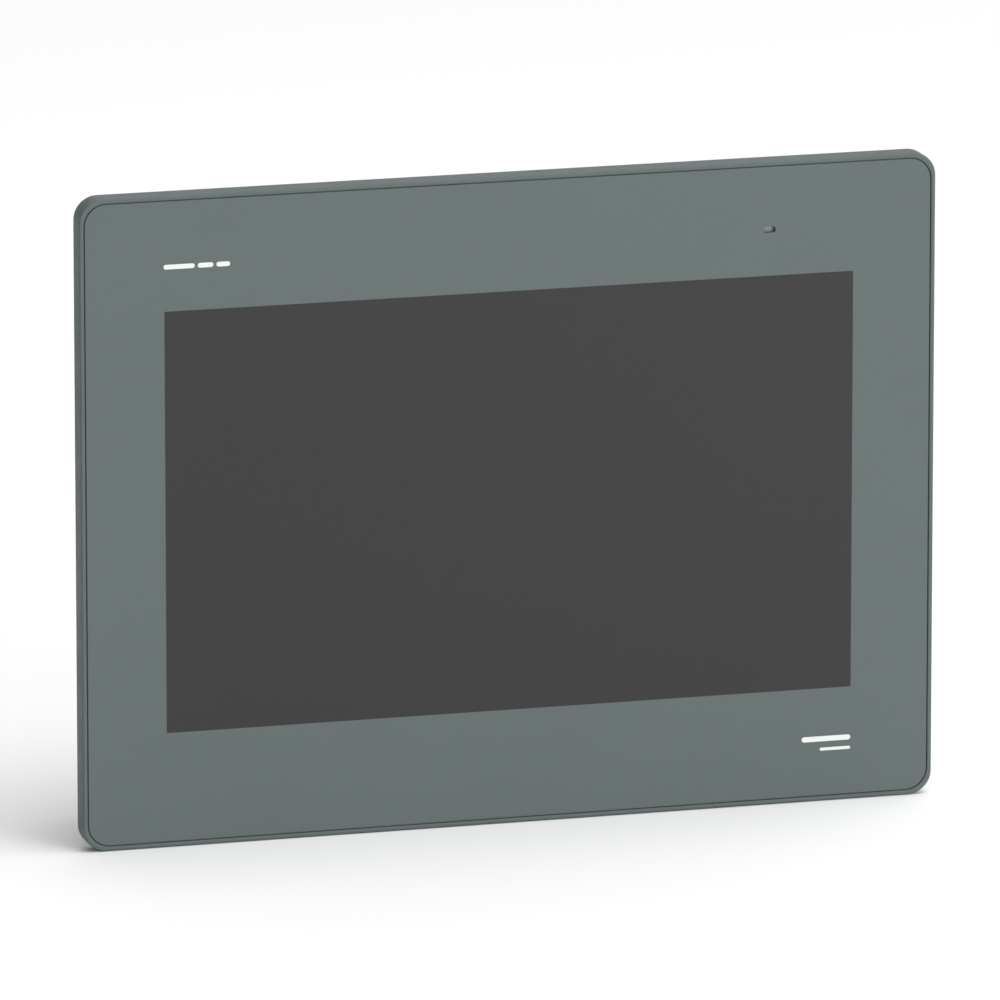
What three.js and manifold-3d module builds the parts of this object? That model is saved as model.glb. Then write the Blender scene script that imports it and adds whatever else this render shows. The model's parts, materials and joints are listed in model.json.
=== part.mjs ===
// Panel-mounted operator display with a touch screen, for a control cabinet door.
// Millimetres. +X runs to the right along the front, +Y goes into the cabinet, +Z is up.
// The origin is the centre of the door cut-out, in the plane of the door's outer face.
import * as THREE from 'three';
import { mergeVertices } from 'three/addons/utils/BufferGeometryUtils.js';
import Module from 'manifold-3d';

const wasm = await Module();
wasm.setup();

// ---- driving dimensions -------------------------------------------------------------
const GAP = 0.3; // clearance between pieces that touch on the real object

const BEZEL = { width: 278.7, height: 208.45, radius: 7.5, front: -8.1, back: -0.5, edgeRound: 0.65 };
const OVERLAY = { width: 275.1, height: 204.84, radius: 6.8, thickness: 0.4, groove: 0.4 };
const LIGHT_SLOT = { x: 84.5, z: 82.3, width: 4.1, height: 2.0, radius: 0.85 };
const TOUCH = { width: 236, height: 146, thickness: 1.8, radius: 1.5 };
const LEDGE = { width: 226.4, height: 136.9, back: -4.3 };
const LIP = { width: 259, height: 189, radius: 5, back: 1.0 };
const GASKET = { width: 272.9, height: 202.9, radius: 6.5, band: 4.4, front: -1.7 };
const LCD = {
  width: 229.4, height: 149.1, front: -3.0, back: 2.6, wall: 0.6, viewWidth: 224, viewHeight: 134.4,
};
const DISPLAY_LAYERS = [
  { name: 'lcd_cell', finish: 'screenGlass', width: 226, height: 140, front: -2.2, back: -0.8 },
  { name: 'backlight_guide', finish: 'diffuserSheet', width: 227, height: 146, front: -0.5, back: 1.5 },
  { name: 'lcd_rear_plate', finish: 'aluminium', width: 227.4, height: 147, front: 1.8, back: 2.6 },
];
const LENS = {
  width: 5.1, height: 3.0, radius: 1.3, recess: 1.35, back: -3.1,
  flangeWidth: 9, flangeHeight: 5.6, flangeRadius: 1.5, flangeFront: -4.0, pocketClear: 0.3,
};
const LIGHT_BOARD = {
  width: 13.2, height: 7, front: -2.4, back: -1.4, ledWidth: 3.2, ledHeight: 1.6, ledFront: -2.8,
};
const BEZEL_BOSS = { chassisRadius: 3.3, chassisBack: 3.7, caseRadius: 4, caseBack: 2.0, holeFront: -3.3 };

const TRAY = { width: 244, height: 178, radius: 4, front: -3.7, back: 20, wall: 2.2 };
const BOX = { left: -112, right: 112, bottom: -58, top: 76, back: 38, wall: 2.2, radius: 3 };
const CHASSIS = { width: 236, height: 150, front: 4.0, thickness: 1.2 };
const BOARD = { left: -105, right: 105, bottom: -52, top: 70, front: 19.0, back: 20.6 };
const BOARD_POSTS = [[-97, -30], [97, -30], [-97, 62], [97, 62]];
const CHASSIS_BOSSES = [[-101, 82], [101, 82], [-101, -82], [101, -82]];
const CASE_PILLARS = [[-115, 82], [115, 82], [-115, -82], [115, -82]];

const M3 = { shank: 1.5, hole: 1.85, head: 2.8, headHeight: 2.0 };
const CLAMP = {
  offset: 52, axisHeight: 84, // the four screws' places: left or right, above or below
  reach: 20, halfWidth: 4.5, hubRadius: 5, hubFront: 12, armFront: 13, back: 16, padFront: 6, padDepth: 7,
  bayLeft: -6, bayRight: 22, bayFloor: -5.5, bayFront: 1.2, bossRadius: 4, bossBack: 7,
  shank: 2.0, hole: 2.4, headRadius: 3.6, headHeight: 2.2, tip: 1.0,
};
const PORT_FACE = -58.2; // the plane of the connectors' mouths, facing down
const PLUG = {
  x: -85, width: 18.8, front: 22.1, back: 31.7, engaged: 10, low: -72, pitch: 5.08,
  gripTop: -59.5, gripRim: 1, gripLip: 0.8, wireHalf: 1.7,
  screwRadius: 1.7, screwLength: 4.2, screwHeight: -65,
};
const WELL = { left: 44, right: 100, bottom: 12, top: 48, wall: 1.6, front: 21.6 };
const COVER = { thickness: 2.2, hingeY: 36.4, hingeZ: 51, barrel: 1.6, trunnion: 0.8 };
const TOP_VENTS = { count: 15, first: -84, pitch: 12, width: 3, front: 23.5, back: 33.5 };
const BACK_VENTS = { count: 12, first: -96, pitch: 8, width: 2.5, bottom: 50, top: 66 };
const LABEL = { x: -40, z: 4, width: 70, height: 36, thickness: 0.2, clear: 0.8 };

const onBoard = BOARD.back + GAP; // the plane that parts on the rear of the board stand on
const PROCESSOR = { x: 0, z: 25, half: 9.5, height: 2.4 };
const HEAT_SINK = { half: 17, base: 2.2, height: 10.6, fins: 8, fin: 1.4 };
const MEMORY = { x: -28.5, z: 25, width: 11, length: 14, height: 1.2 };
const BUZZER = { x: -70, z: 40, radius: 6, height: 5.5, soundHole: 1 };
const BATTERY = { x: 60, z: 30, radius: 10, thickness: 3.2, floor: 0.8 };
const HOLDER = { width: 25, radius: 3, height: 4.4, clear: 0.5, postThickness: 1.7, postHalf: 3 };
const CARD_SOCKET = { x: 87, z: 29, half: 9, height: 2.6, slotHalf: 7.5, slotFront: 0.7, slotBack: 1.9 };
const FLEX = { thickness: 0.4, tailHalf: 7, cableLeft: -42, cableRight: -26 };

// ---- finishes -----------------------------------------------------------------------
const finish = {
  bezelPlastic: () => new THREE.MeshStandardMaterial({ color: 0x76827f, roughness: 0.55 }),
  overlayFilm: () => new THREE.MeshStandardMaterial({ color: 0x6d7977, roughness: 0.6 }),
  screenGlass: () => new THREE.MeshStandardMaterial({ color: 0x474747, roughness: 0.45 }),
  lensPlastic: () => new THREE.MeshStandardMaterial({ color: 0x828284, roughness: 0.4 }),
  housingPlastic: () => new THREE.MeshStandardMaterial({ color: 0x3c4040, roughness: 0.65 }),
  sealRubber: () => new THREE.MeshStandardMaterial({ color: 0x1c1c1c, roughness: 0.9 }),
  platedSteel: () => new THREE.MeshStandardMaterial({ color: 0xb9bcbd, roughness: 0.35, metalness: 0.9 }),
  screwSteel: () => new THREE.MeshStandardMaterial({ color: 0xc6c8c8, roughness: 0.3, metalness: 1 }),
  boardLaminate: () => new THREE.MeshStandardMaterial({ color: 0x1f5a38, roughness: 0.5 }),
  blackPlastic: () => new THREE.MeshStandardMaterial({ color: 0x17181a, roughness: 0.5 }),
  greenPlastic: () => new THREE.MeshStandardMaterial({ color: 0x2f8a4a, roughness: 0.5 }),
  aluminium: () => new THREE.MeshStandardMaterial({ color: 0xa7a9ab, roughness: 0.4, metalness: 1 }),
  amberFilm: () => new THREE.MeshStandardMaterial({ color: 0xb06a1c, roughness: 0.4 }),
  diffuserSheet: () => new THREE.MeshStandardMaterial({ color: 0xe8eaea, roughness: 0.5 }),
  labelSheet: () => new THREE.MeshStandardMaterial({ color: 0xc9cccd, roughness: 0.4 }),
};

const panel = new THREE.Group();

// ---- solids -------------------------------------------------------------------------
function solid(geometry) {
  geometry.deleteAttribute('normal');
  geometry.deleteAttribute('uv');
  const merged = mergeVertices(geometry, 1e-4);
  return new wasm.Manifold(new wasm.Mesh({
    numProp: 3,
    vertProperties: new Float32Array(merged.attributes.position.array),
    triVerts: new Uint32Array(merged.index.array),
  }));
}

function geometryOf(body) {
  const mesh = body.getMesh();
  const geometry = new THREE.BufferGeometry();
  geometry.setAttribute('position', new THREE.BufferAttribute(new Float32Array(mesh.vertProperties), 3));
  geometry.setIndex(new THREE.BufferAttribute(new Uint32Array(mesh.triVerts), 1));
  geometry.computeVertexNormals();
  return geometry;
}

const join = (...bodies) => bodies.reduce((a, b) => a.add(b));
const cut = (body, ...tools) => tools.reduce((a, b) => a.subtract(b), body);

// A rounded rectangle seen from the front, centred on (x, z).
function roundedOutline(width, height, radius, x = 0, z = 0) {
  const shape = new THREE.Shape();
  const w = width / 2 - radius;
  const h = height / 2 - radius;
  const quarter = Math.PI / 2;
  shape.absarc(x + w, z - h, radius, -quarter, 0);
  shape.absarc(x + w, z + h, radius, 0, quarter);
  shape.absarc(x - w, z + h, radius, quarter, 2 * quarter);
  shape.absarc(x - w, z - h, radius, 2 * quarter, 3 * quarter);
  shape.closePath();
  return shape;
}

// Extrudes a front outline from y0 back to y1.
function slab(shape, y0, y1, curveSegments = 4, bevel = {}) {
  const depth = y1 - y0;
  const options = { depth, bevelEnabled: false, curveSegments, ...bevel };
  const geometry = new THREE.ExtrudeGeometry(shape, options);
  geometry.rotateX(Math.PI / 2);
  geometry.translate(0, y1, 0);
  return solid(geometry);
}

const plate = (width, height, radius, y0, y1, x = 0, z = 0, segments = 4) =>
  slab(roundedOutline(width, height, radius, x, z), y0, y1, segments);

function block(x0, x1, y0, y1, z0, z1) {
  const geometry = new THREE.BoxGeometry(x1 - x0, y1 - y0, z1 - z0);
  geometry.translate((x0 + x1) / 2, (y0 + y1) / 2, (z0 + z1) / 2);
  return solid(geometry);
}

function rodY(x, z, radius, y0, y1, sides = 12) {
  const geometry = new THREE.CylinderGeometry(radius, radius, y1 - y0, sides);
  geometry.translate(x, (y0 + y1) / 2, z);
  return solid(geometry);
}

function rodX(y, z, radius, x0, x1, sides = 12) {
  const geometry = new THREE.CylinderGeometry(radius, radius, x1 - x0, sides);
  geometry.rotateZ(Math.PI / 2);
  geometry.translate((x0 + x1) / 2, y, z);
  return solid(geometry);
}

function rodZ(x, y, radius, z0, z1, sides = 12) {
  const geometry = new THREE.CylinderGeometry(radius, radius, z1 - z0, sides);
  geometry.rotateX(Math.PI / 2);
  geometry.translate(x, y, (z0 + z1) / 2);
  return solid(geometry);
}

// A strip of constant width along X whose section is a polyline in the YZ plane.
function ribbon(points, thickness, x0, x1) {
  const half = thickness / 2;
  const side = (sign) => points.map(([y, z], i) => {
    const before = points[Math.max(i - 1, 0)];
    const after = points[Math.min(i + 1, points.length - 1)];
    const length = Math.hypot(after[0] - before[0], after[1] - before[1]);
    return new THREE.Vector2(
      y - (sign * half * (after[1] - before[1])) / length,
      z + (sign * half * (after[0] - before[0])) / length,
    );
  });
  const outline = [...side(1), ...side(-1).reverse()];
  const depth = x1 - x0;
  const geometry = new THREE.ExtrudeGeometry(new THREE.Shape(outline), { depth, bevelEnabled: false });
  // local x, y and z become world y, z and x
  geometry.applyMatrix4(new THREE.Matrix4().set(0, 0, 1, x0, 1, 0, 0, 0, 0, 1, 0, 0, 0, 0, 0, 1));
  return solid(geometry);
}

function node(name, body, material, parent = panel, at = [0, 0, 0]) {
  const mesh = new THREE.Mesh(geometryOf(body), material());
  mesh.name = name;
  mesh.position.set(...at);
  parent.add(mesh);
  return mesh;
}

// ---- front: bezel, printed overlay, touch screen, status light ------------------------
const touchFront = BEZEL.front + OVERLAY.thickness + GAP;
const touchBack = touchFront + TOUCH.thickness;

function frontBezel() {
  const { width, height, radius, front, back, edgeRound } = BEZEL;
  const roundedEdge = {
    bevelEnabled: true, bevelSize: edgeRound, bevelThickness: edgeRound, bevelOffset: -edgeRound,
    bevelSegments: 2,
  };
  const outline = roundedOutline(width, height, radius);
  const rounded = slab(outline, front + edgeRound, back + 1, 6, roundedEdge);
  const flange = cut(rounded, block(-width, width, back, back + 5, -height, height));
  const lip = plate(LIP.width, LIP.height, LIP.radius, back - 1, LIP.back);

  const recess = plate(
    OVERLAY.width + 2 * OVERLAY.groove, OVERLAY.height + 2 * OVERLAY.groove,
    OVERLAY.radius + OVERLAY.groove, front - 1, front + OVERLAY.thickness + GAP, 0, 0, 6,
  );
  const touchPocket = plate(
    TOUCH.width + 1, TOUCH.height + 1, TOUCH.radius + 0.5,
    touchFront - 1, touchFront + TOUCH.thickness + GAP,
  );
  const ledgeOpening = block(
    -LEDGE.width / 2, LEDGE.width / 2, front, 2, -LEDGE.height / 2, LEDGE.height / 2,
  );
  const housingPocket = plate(
    TRAY.width + 0.8, TRAY.height + 0.8, TRAY.radius + 0.4, LEDGE.back, LIP.back + 1,
  );
  const gasketGroove = cut(
    plate(GASKET.width + 0.6, GASKET.height + 0.6, GASKET.radius + 0.3, GASKET.front - GAP, back + 0.2),
    plate(
      GASKET.width - 2 * GASKET.band - 0.6, GASKET.height - 2 * GASKET.band - 0.6,
      GASKET.radius - GASKET.band - 0.3, GASKET.front - 1, back + 1,
    ),
  );
  const tailRoom = FLEX.tailHalf + 2;
  const tailNotch = block(-tailRoom, tailRoom, touchFront - 0.5, touchFront + 2.1, -77.4, -70);
  const tailSlot = block(-tailRoom, tailRoom, touchFront - 0.5, 0, -77.4, -75.2);

  const { x, z, width: slotWidth, height: slotHeight, radius: slotRadius } = LIGHT_SLOT;
  const lightSlot = plate(slotWidth, slotHeight, slotRadius, front, 0, x, z);
  const lensPocket = plate(
    LENS.width + 2 * LENS.pocketClear, LENS.height + 2 * LENS.pocketClear, LENS.radius + LENS.pocketClear,
    front + LENS.recess - LENS.pocketClear, 0, x, z,
  );

  const { chassisRadius, chassisBack, caseRadius, caseBack, holeFront } = BEZEL_BOSS;
  const bosses = [
    ...CHASSIS_BOSSES.map(([bx, bz]) => rodY(bx, bz, chassisRadius, LEDGE.back - 0.5, chassisBack)),
    ...CASE_PILLARS.map(([bx, bz]) => rodY(bx, bz, caseRadius, LEDGE.back - 0.5, caseBack)),
  ];
  const bossHoles = [...CHASSIS_BOSSES, ...CASE_PILLARS].map(([bx, bz]) =>
    rodY(bx, bz, M3.hole, holeFront, chassisBack + 1.3, 8));
  const shell = cut(
    join(flange, lip),
    recess, touchPocket, ledgeOpening, housingPocket, gasketGroove, tailNotch, tailSlot,
  );
  return cut(join(shell, ...bosses), lightSlot, lensPocket, ...bossHoles);
}

function frontOverlay() {
  const { width, height, radius, thickness } = OVERLAY;
  const sheet = plate(width, height, radius, BEZEL.front, BEZEL.front + thickness, 0, 0, 6);
  const { x, z, width: slotWidth, height: slotHeight, radius: slotRadius } = LIGHT_SLOT;
  return cut(sheet, plate(slotWidth, slotHeight, slotRadius, BEZEL.front - 1, BEZEL.front + 1, x, z));
}

node('front_bezel', frontBezel(), finish.bezelPlastic);
node('front_overlay', frontOverlay(), finish.overlayFilm);
node('touch_screen',
  plate(TOUCH.width, TOUCH.height, TOUCH.radius, touchFront, touchBack),
  finish.screenGlass);

function statusLightLens() {
  const { x, z } = LIGHT_SLOT;
  const { width, height, radius, recess, back } = LENS;
  const { flangeWidth, flangeHeight, flangeRadius, flangeFront } = LENS;
  return join(
    plate(width, height, radius, BEZEL.front + recess, back, x, z),
    plate(flangeWidth, flangeHeight, flangeRadius, flangeFront, back, x, z),
  );
}

function statusLightBoard() {
  const { x, z } = LIGHT_SLOT;
  const { width, height, front, back, ledWidth, ledHeight, ledFront } = LIGHT_BOARD;
  return join(
    block(x - width / 2, x + width / 2, front, back, z - height / 2, z + height / 2),
    block(x - ledWidth / 2, x + ledWidth / 2, ledFront, front + 0.4, z - ledHeight / 2, z + ledHeight / 2),
  );
}

node('status_light_lens', statusLightLens(), finish.lensPlastic);
node('status_light_board', statusLightBoard(), finish.boardLaminate);
// the tail leaves the lower edge of the touch screen, turns back through the bezel and up to the board
node('touch_flex_tail', ribbon([
  [-6.5, -73.4], [-6.5, -75.6], [-6.1, -76.3], [-5, -76.4], [12, -76.4], [15.4, -74.5],
  [16.6, -70], [16.8, -60], [17.2, -53], [18.3, -49], [18.3, -42],
], FLEX.thickness, -FLEX.tailHalf, FLEX.tailHalf), finish.amberFilm);

// ---- door seal ------------------------------------------------------------------------
function ring(outer, band, y0, y1, segments = 4) {
  const { width, height, radius } = outer;
  return cut(
    plate(width, height, radius, y0, y1, 0, 0, segments),
    plate(
      width - 2 * band, height - 2 * band, Math.max(radius - band, 0.5), y0 - 1, y1 + 1, 0, 0, segments,
    ),
  );
}

node('mounting_gasket', ring(GASKET, GASKET.band, GASKET.front, 0), finish.sealRubber);

// ---- display module ---------------------------------------------------------------------
function lcdFrame() {
  const { width, height, front, back, wall, viewWidth, viewHeight } = LCD;
  const outer = plate(width, height, 1, front, back);
  const inner = plate(width - 2 * wall, height - 2 * wall, 0.6, front + 0.5, back + 1);
  const window = block(
    -viewWidth / 2, viewWidth / 2, front - 1, front + 1, -viewHeight / 2, viewHeight / 2,
  );
  return cut(outer, inner, window);
}

const DISPLAY_SEAL = { width: 236, height: 145.6, radius: 1.5 };
const displaySealBand = 4;
node('display_seal',
  ring(DISPLAY_SEAL, displaySealBand, LEDGE.back + GAP, LCD.front - GAP, 3),
  finish.sealRubber);
node('lcd_frame', lcdFrame(), finish.platedSteel);
for (const { name, finish: look, width, height, front, back } of DISPLAY_LAYERS) {
  node(name, block(-width / 2, width / 2, front, back, -height / 2, height / 2), finish[look]);
}

// ---- chassis and main board ---------------------------------------------------------------
function supportChassis() {
  const { width, height, front, thickness } = CHASSIS;
  const rear = front + thickness;
  const sheet = plate(width, height, 2, front, rear, 0, 0, 3);
  const tabs = CHASSIS_BOSSES.map(([x, z]) => plate(9, 16, 2, front, rear, x, z - 4 * Math.sign(z), 3));
  const tabHoles = CHASSIS_BOSSES.map(([x, z]) => rodY(x, z, M3.hole, front - 1, rear + 1, 8));
  const posts = BOARD_POSTS.map(([x, z]) => rodY(x, z, 3, front + 0.2, BOARD.front - GAP));
  const postHoles = BOARD_POSTS.map(([x, z]) => rodY(x, z, M3.hole, rear + 1, BOARD.front + 1, 8));
  const cableWindow = block(-46, -22, front - 1, rear + 1, 22, 34);
  const lightening = [-1, 1].map((side) =>
    plate(44, 60, 6, front - 1, rear + 1, side * 58, -12, 4));
  return cut(join(sheet, ...tabs, ...posts), ...tabHoles, ...postHoles, cableWindow, ...lightening);
}

node('support_chassis', supportChassis(), finish.platedSteel);

function mainBoard() {
  const { left, right, bottom, top, front, back } = BOARD;
  const [x0, z0] = [(left + right) / 2, (bottom + top) / 2];
  const sheet = plate(right - left, top - bottom, 2, front, back, x0, z0, 3);
  return cut(sheet, ...BOARD_POSTS.map(([x, z]) => rodY(x, z, M3.hole, front - 1, back + 1, 8)));
}

// A part on the board that spans its centre by the given halves and stands up by its height.
const chip = ({ x, z, height }, halfX, halfZ) =>
  block(x - halfX, x + halfX, onBoard, onBoard + height, z - halfZ, z + halfZ);

function heatSink() {
  const { half, base, height, fins, fin } = HEAT_SINK;
  const y0 = onBoard + PROCESSOR.height + GAP;
  const [z0, z1] = [PROCESSOR.z - half, PROCESSOR.z + half];
  const pitch = (2 * half - fin) / (fins - 1);
  const finBlocks = Array.from({ length: fins }, (_, i) => -half + i * pitch)
    .map((x) => block(x, x + fin, y0 + 1, y0 + height, z0, z1));
  return join(block(-half, half, y0, y0 + base, z0, z1), ...finBlocks);
}

function buzzer() {
  const { x, z, radius, height, soundHole } = BUZZER;
  return cut(
    rodY(x, z, radius, onBoard, onBoard + height, 20),
    rodY(x, z, soundHole, onBoard + height - 1.5, onBoard + height + 0.5, 8),
  );
}

node('main_board', mainBoard(), finish.boardLaminate);
node('processor_chip', chip(PROCESSOR, PROCESSOR.half, PROCESSOR.half), finish.blackPlastic);
node('heat_sink', heatSink(), finish.aluminium);
node('memory_chip', chip(MEMORY, MEMORY.width / 2, MEMORY.length / 2), finish.blackPlastic);
node('buzzer', buzzer(), finish.blackPlastic);
node('display_cable', ribbon([
  [3.0, 12], [3.0, 22], [3.6, 26], [6.5, 28.5], [13, 29.5], [16.8, 32], [18, 36], [18.1, 40], [18.1, 50],
], FLEX.thickness, FLEX.cableLeft, FLEX.cableRight), finish.amberFilm);

// ---- rear housing ------------------------------------------------------------------------
const pillarSeat = 12.5; // where the heads of the case screws rest
const boxWidth = BOX.right - BOX.left;
const boxHeight = BOX.top - BOX.bottom;
const boxX = (BOX.left + BOX.right) / 2;
const boxZ = (BOX.bottom + BOX.top) / 2;
const clampPlaces = [
  { name: 'top_left', x: -CLAMP.offset, z: CLAMP.axisHeight, turn: 0 },
  { name: 'top_right', x: CLAMP.offset, z: CLAMP.axisHeight, turn: 0 },
  { name: 'bottom_left', x: -CLAMP.offset, z: -CLAMP.axisHeight, turn: Math.PI },
  { name: 'bottom_right', x: CLAMP.offset, z: -CLAMP.axisHeight, turn: Math.PI },
];

// Moves a solid that was drawn around a clamp's screw to where that clamp is.
const placeAt = (body, { x, z, turn }) =>
  body.rotate([0, THREE.MathUtils.radToDeg(turn), 0]).translate([x, 0, z]);

const bayBlock = () => block(
  CLAMP.bayLeft - 2, CLAMP.bayRight + 2, TRAY.front, TRAY.back,
  CLAMP.bayFloor - 2.5, TRAY.height / 2 - CLAMP.axisHeight,
);

function bayCut() {
  const open = block(CLAMP.bayLeft, CLAMP.bayRight, CLAMP.bayFront, TRAY.back + 1, CLAMP.bayFloor, 7);
  const keyway = block(-1.6, 1.6, CLAMP.bayFront, TRAY.back + 1, CLAMP.bayFloor - 1.2, CLAMP.bayFloor + 1);
  const boss = rodY(0, 0, CLAMP.bossRadius, CLAMP.bayFront - 1, CLAMP.bossBack);
  const screwHole = rodY(0, 0, CLAMP.shank + GAP, TRAY.front - 1, CLAMP.bossBack + 1);
  return join(cut(join(open, keyway), boss), screwHole);
}

const portOpenings = [
  { x: PLUG.x, width: 22.8, front: 20.9, back: 33.1 },
  { x: -45, width: 31.6, front: 20.6, back: 33.8 },
  { x: 5, width: 16.8, front: 20.6, back: 34.7 },
  { x: 36, width: 14.0, front: 20.6, back: 28.0 },
  { x: 62, width: 9.8, front: 20.6, back: 26.0 },
  { x: 88, width: 16.8, front: 20.6, back: 34.7 },
];

function rearHousing() {
  const { width, height, radius, front, back, wall } = TRAY;
  const tray = plate(width, height, radius, front, back);
  const box = plate(boxWidth, boxHeight, BOX.radius, back - 5, BOX.back, boxX, boxZ);
  const trayInside = plate(width - 2 * wall, height - 2 * wall, radius - wall, front - 1, back - wall);
  const boxInside = plate(
    boxWidth - 2 * BOX.wall, boxHeight - 2 * BOX.wall, BOX.radius - BOX.wall, back - wall - 1,
    BOX.back - BOX.wall, boxX, boxZ, 3,
  );
  const bays = clampPlaces.map((place) => placeAt(bayBlock(), place));
  const pillars = CASE_PILLARS.map(([x, z]) => rodY(x, z, 4, 2.3, back - 0.5));
  const pillarHoles = CASE_PILLARS.flatMap(([x, z]) => [
    rodY(x, z, M3.hole, 0, back + 1, 8), rodY(x, z, M3.head + 0.7, pillarSeat, back + 1),
  ]);
  const wellX = (WELL.left + WELL.right) / 2;
  const wellZ = (WELL.bottom + WELL.top) / 2;
  const wellOuter = block(
    WELL.left - WELL.wall, WELL.right + WELL.wall, WELL.front, BOX.back - 1,
    WELL.bottom - WELL.wall, COVER.hingeZ + COVER.barrel + 2.2,
  );
  const wellInside = block(WELL.left, WELL.right, WELL.front - 1, BOX.back + 1, WELL.bottom, WELL.top);
  const coverSeat = join(
    block(
      WELL.left - 1.2, WELL.right + 1.2, COVER.hingeY - 0.9, BOX.back + 1, WELL.bottom - 2.4, COVER.hingeZ,
    ),
    block(
      WELL.left - 1.2, WELL.right + 1.2, COVER.hingeY - COVER.barrel - 0.6, BOX.back + 1,
      COVER.hingeZ - COVER.barrel - 0.5, COVER.hingeZ + COVER.barrel + 0.5,
    ),
  );
  const trunnionHoles = rodX(
    COVER.hingeY, COVER.hingeZ, COVER.trunnion + GAP, WELL.left - 2.8, WELL.right + 2.8,
  );
  const fingerNotch = plate(14, 7, 2, COVER.hingeY + 0.4, BOX.back + 1, wellX, WELL.bottom - 3.2, 4);
  const ports = portOpenings.map((port) => block(
    port.x - port.width / 2, port.x + port.width / 2, port.front, port.back, BOX.bottom - 1, BOX.bottom + 3,
  ));
  const vents = ({ count, first, pitch, width: slot }, cutAt) =>
    Array.from({ length: count }, (_, i) => first + i * pitch)
      .map((x) => cutAt(x - slot / 2, x + slot / 2));
  const topVents = vents(TOP_VENTS, (x0, x1) =>
    block(x0, x1, TOP_VENTS.front, TOP_VENTS.back, BOX.top - 3, BOX.top + 1));
  const backVents = vents(BACK_VENTS, (x0, x1) =>
    block(x0, x1, BOX.back - 3, BOX.back + 1, BACK_VENTS.bottom, BACK_VENTS.top));
  const labelPocket = plate(
    LABEL.width + LABEL.clear, LABEL.height + LABEL.clear, 1.4,
    BOX.back - 0.5, BOX.back + 1, LABEL.x, LABEL.z, 3,
  );
  const shell = cut(join(tray, box), trayInside, boxInside);
  return cut(
    join(shell, ...bays, ...pillars, cut(wellOuter, block(
      WELL.left, WELL.right, WELL.front - 1, BOX.back - BOX.wall, WELL.bottom, WELL.top,
    ))),
    ...clampPlaces.map((place) => placeAt(bayCut(), place)),
    ...pillarHoles, wellInside, coverSeat, trunnionHoles, fingerNotch, labelPocket,
    ...ports, ...topVents, ...backVents,
  );
}

node('rear_housing', rearHousing(), finish.housingPlastic);
node('rating_label',
  plate(LABEL.width, LABEL.height, 1, BOX.back - LABEL.thickness, BOX.back, LABEL.x, LABEL.z, 3),
  finish.labelSheet);

// ---- battery and card well with its hinged cover -------------------------------------------
function serviceCover() {
  const y1 = BOX.back;
  const y0 = y1 - COVER.thickness;
  const left = WELL.left - 0.8;
  const right = WELL.right + 0.8;
  const leaf = block(left, right, y0, y1, WELL.bottom - 2, COVER.hingeZ);
  const barrel = rodX(COVER.hingeY, COVER.hingeZ, COVER.barrel, left, right);
  const trunnions = rodX(COVER.hingeY, COVER.hingeZ, COVER.trunnion, WELL.left - 2.4, WELL.right + 2.4);
  const catchRib = block(66, 78, y0 - 1.6, y0 + 0.5, WELL.bottom + 0.4, WELL.bottom + 1.6);
  return join(leaf, barrel, trunnions, catchRib);
}

function batteryHolder() {
  const { x, z, radius, thickness, floor } = BATTERY;
  const { width, radius: corner, height, clear, postThickness, postHalf } = HOLDER;
  const body = plate(width, width, corner, onBoard, onBoard + height, x, z, 4);
  const cup = rodY(x, z, radius + clear, onBoard + floor, onBoard + 6, 24);
  // the spring contact's post stands beside the battery, so that the battery lifts straight out
  const left = x - width / 2;
  const springPost = block(
    left, left + postThickness, onBoard + 1, onBoard + floor + thickness + 1.4, z - postHalf, z + postHalf,
  );
  return join(cut(body, cup), springPost);
}

function coinBattery() {
  const { x, z, radius, thickness, floor } = BATTERY;
  const front = onBoard + floor + GAP;
  return rodY(x, z, radius, front, front + thickness, 24);
}

function cardSocket() {
  const { x, z, half, slotHalf, slotFront, slotBack } = CARD_SOCKET;
  return cut(
    chip(CARD_SOCKET, half, half),
    block(x - slotHalf, x + slotHalf, onBoard + slotFront, onBoard + slotBack, z - half + 2, z + half + 1),
  );
}

node('service_cover', serviceCover(), finish.housingPlastic);
node('battery_holder', batteryHolder(), finish.blackPlastic);
node('coin_battery', coinBattery(), finish.screwSteel);
node('card_socket', cardSocket(), finish.platedSteel);

// ---- connectors on the lower edge, mouths facing down ---------------------------------------
function modularSocket(x) {
  const top = PORT_FACE + 18;
  const y0 = onBoard;
  const y1 = onBoard + 13.4;
  const shell = block(x - 8, x + 8, y0, y1, PORT_FACE, top);
  const mouth = block(x - 5.9, x + 5.9, y0 + 2.6, y0 + 9.6, PORT_FACE - 1, PORT_FACE + 13);
  const latch = block(x - 3.2, x + 3.2, y0 + 9, y0 + 11.6, PORT_FACE - 1, PORT_FACE + 9);
  return cut(shell, mouth, latch);
}

function usbHostPort(x) {
  const y0 = onBoard;
  const shell = block(x - 6.6, x + 6.6, y0, y0 + 6.0, PORT_FACE, PORT_FACE + 14);
  const mouth = block(x - 6.1, x + 6.1, y0 + 0.5, y0 + 5.5, PORT_FACE - 1, PORT_FACE + 12.5);
  const tongue = block(x - 5.5, x + 5.5, y0 + 1.2, y0 + 3.0, PORT_FACE + 1, PORT_FACE + 13);
  return join(cut(shell, mouth), tongue);
}

function usbDevicePort(x) {
  const y0 = onBoard;
  const facingDown = (body) => body.rotate([90, 0, 0]).translate([x, y0 + 1.8, PORT_FACE]);
  const shell = facingDown(plate(9, 3.6, 1.2, 0, 9));
  const mouth = facingDown(plate(8.2, 2.8, 0.9, -1, 7.5));
  const tongue = block(x - 3.2, x + 3.2, y0 + 1.4, y0 + 2.2, PORT_FACE + 1, PORT_FACE + 8);
  return join(cut(shell, mouth), tongue);
}

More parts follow.
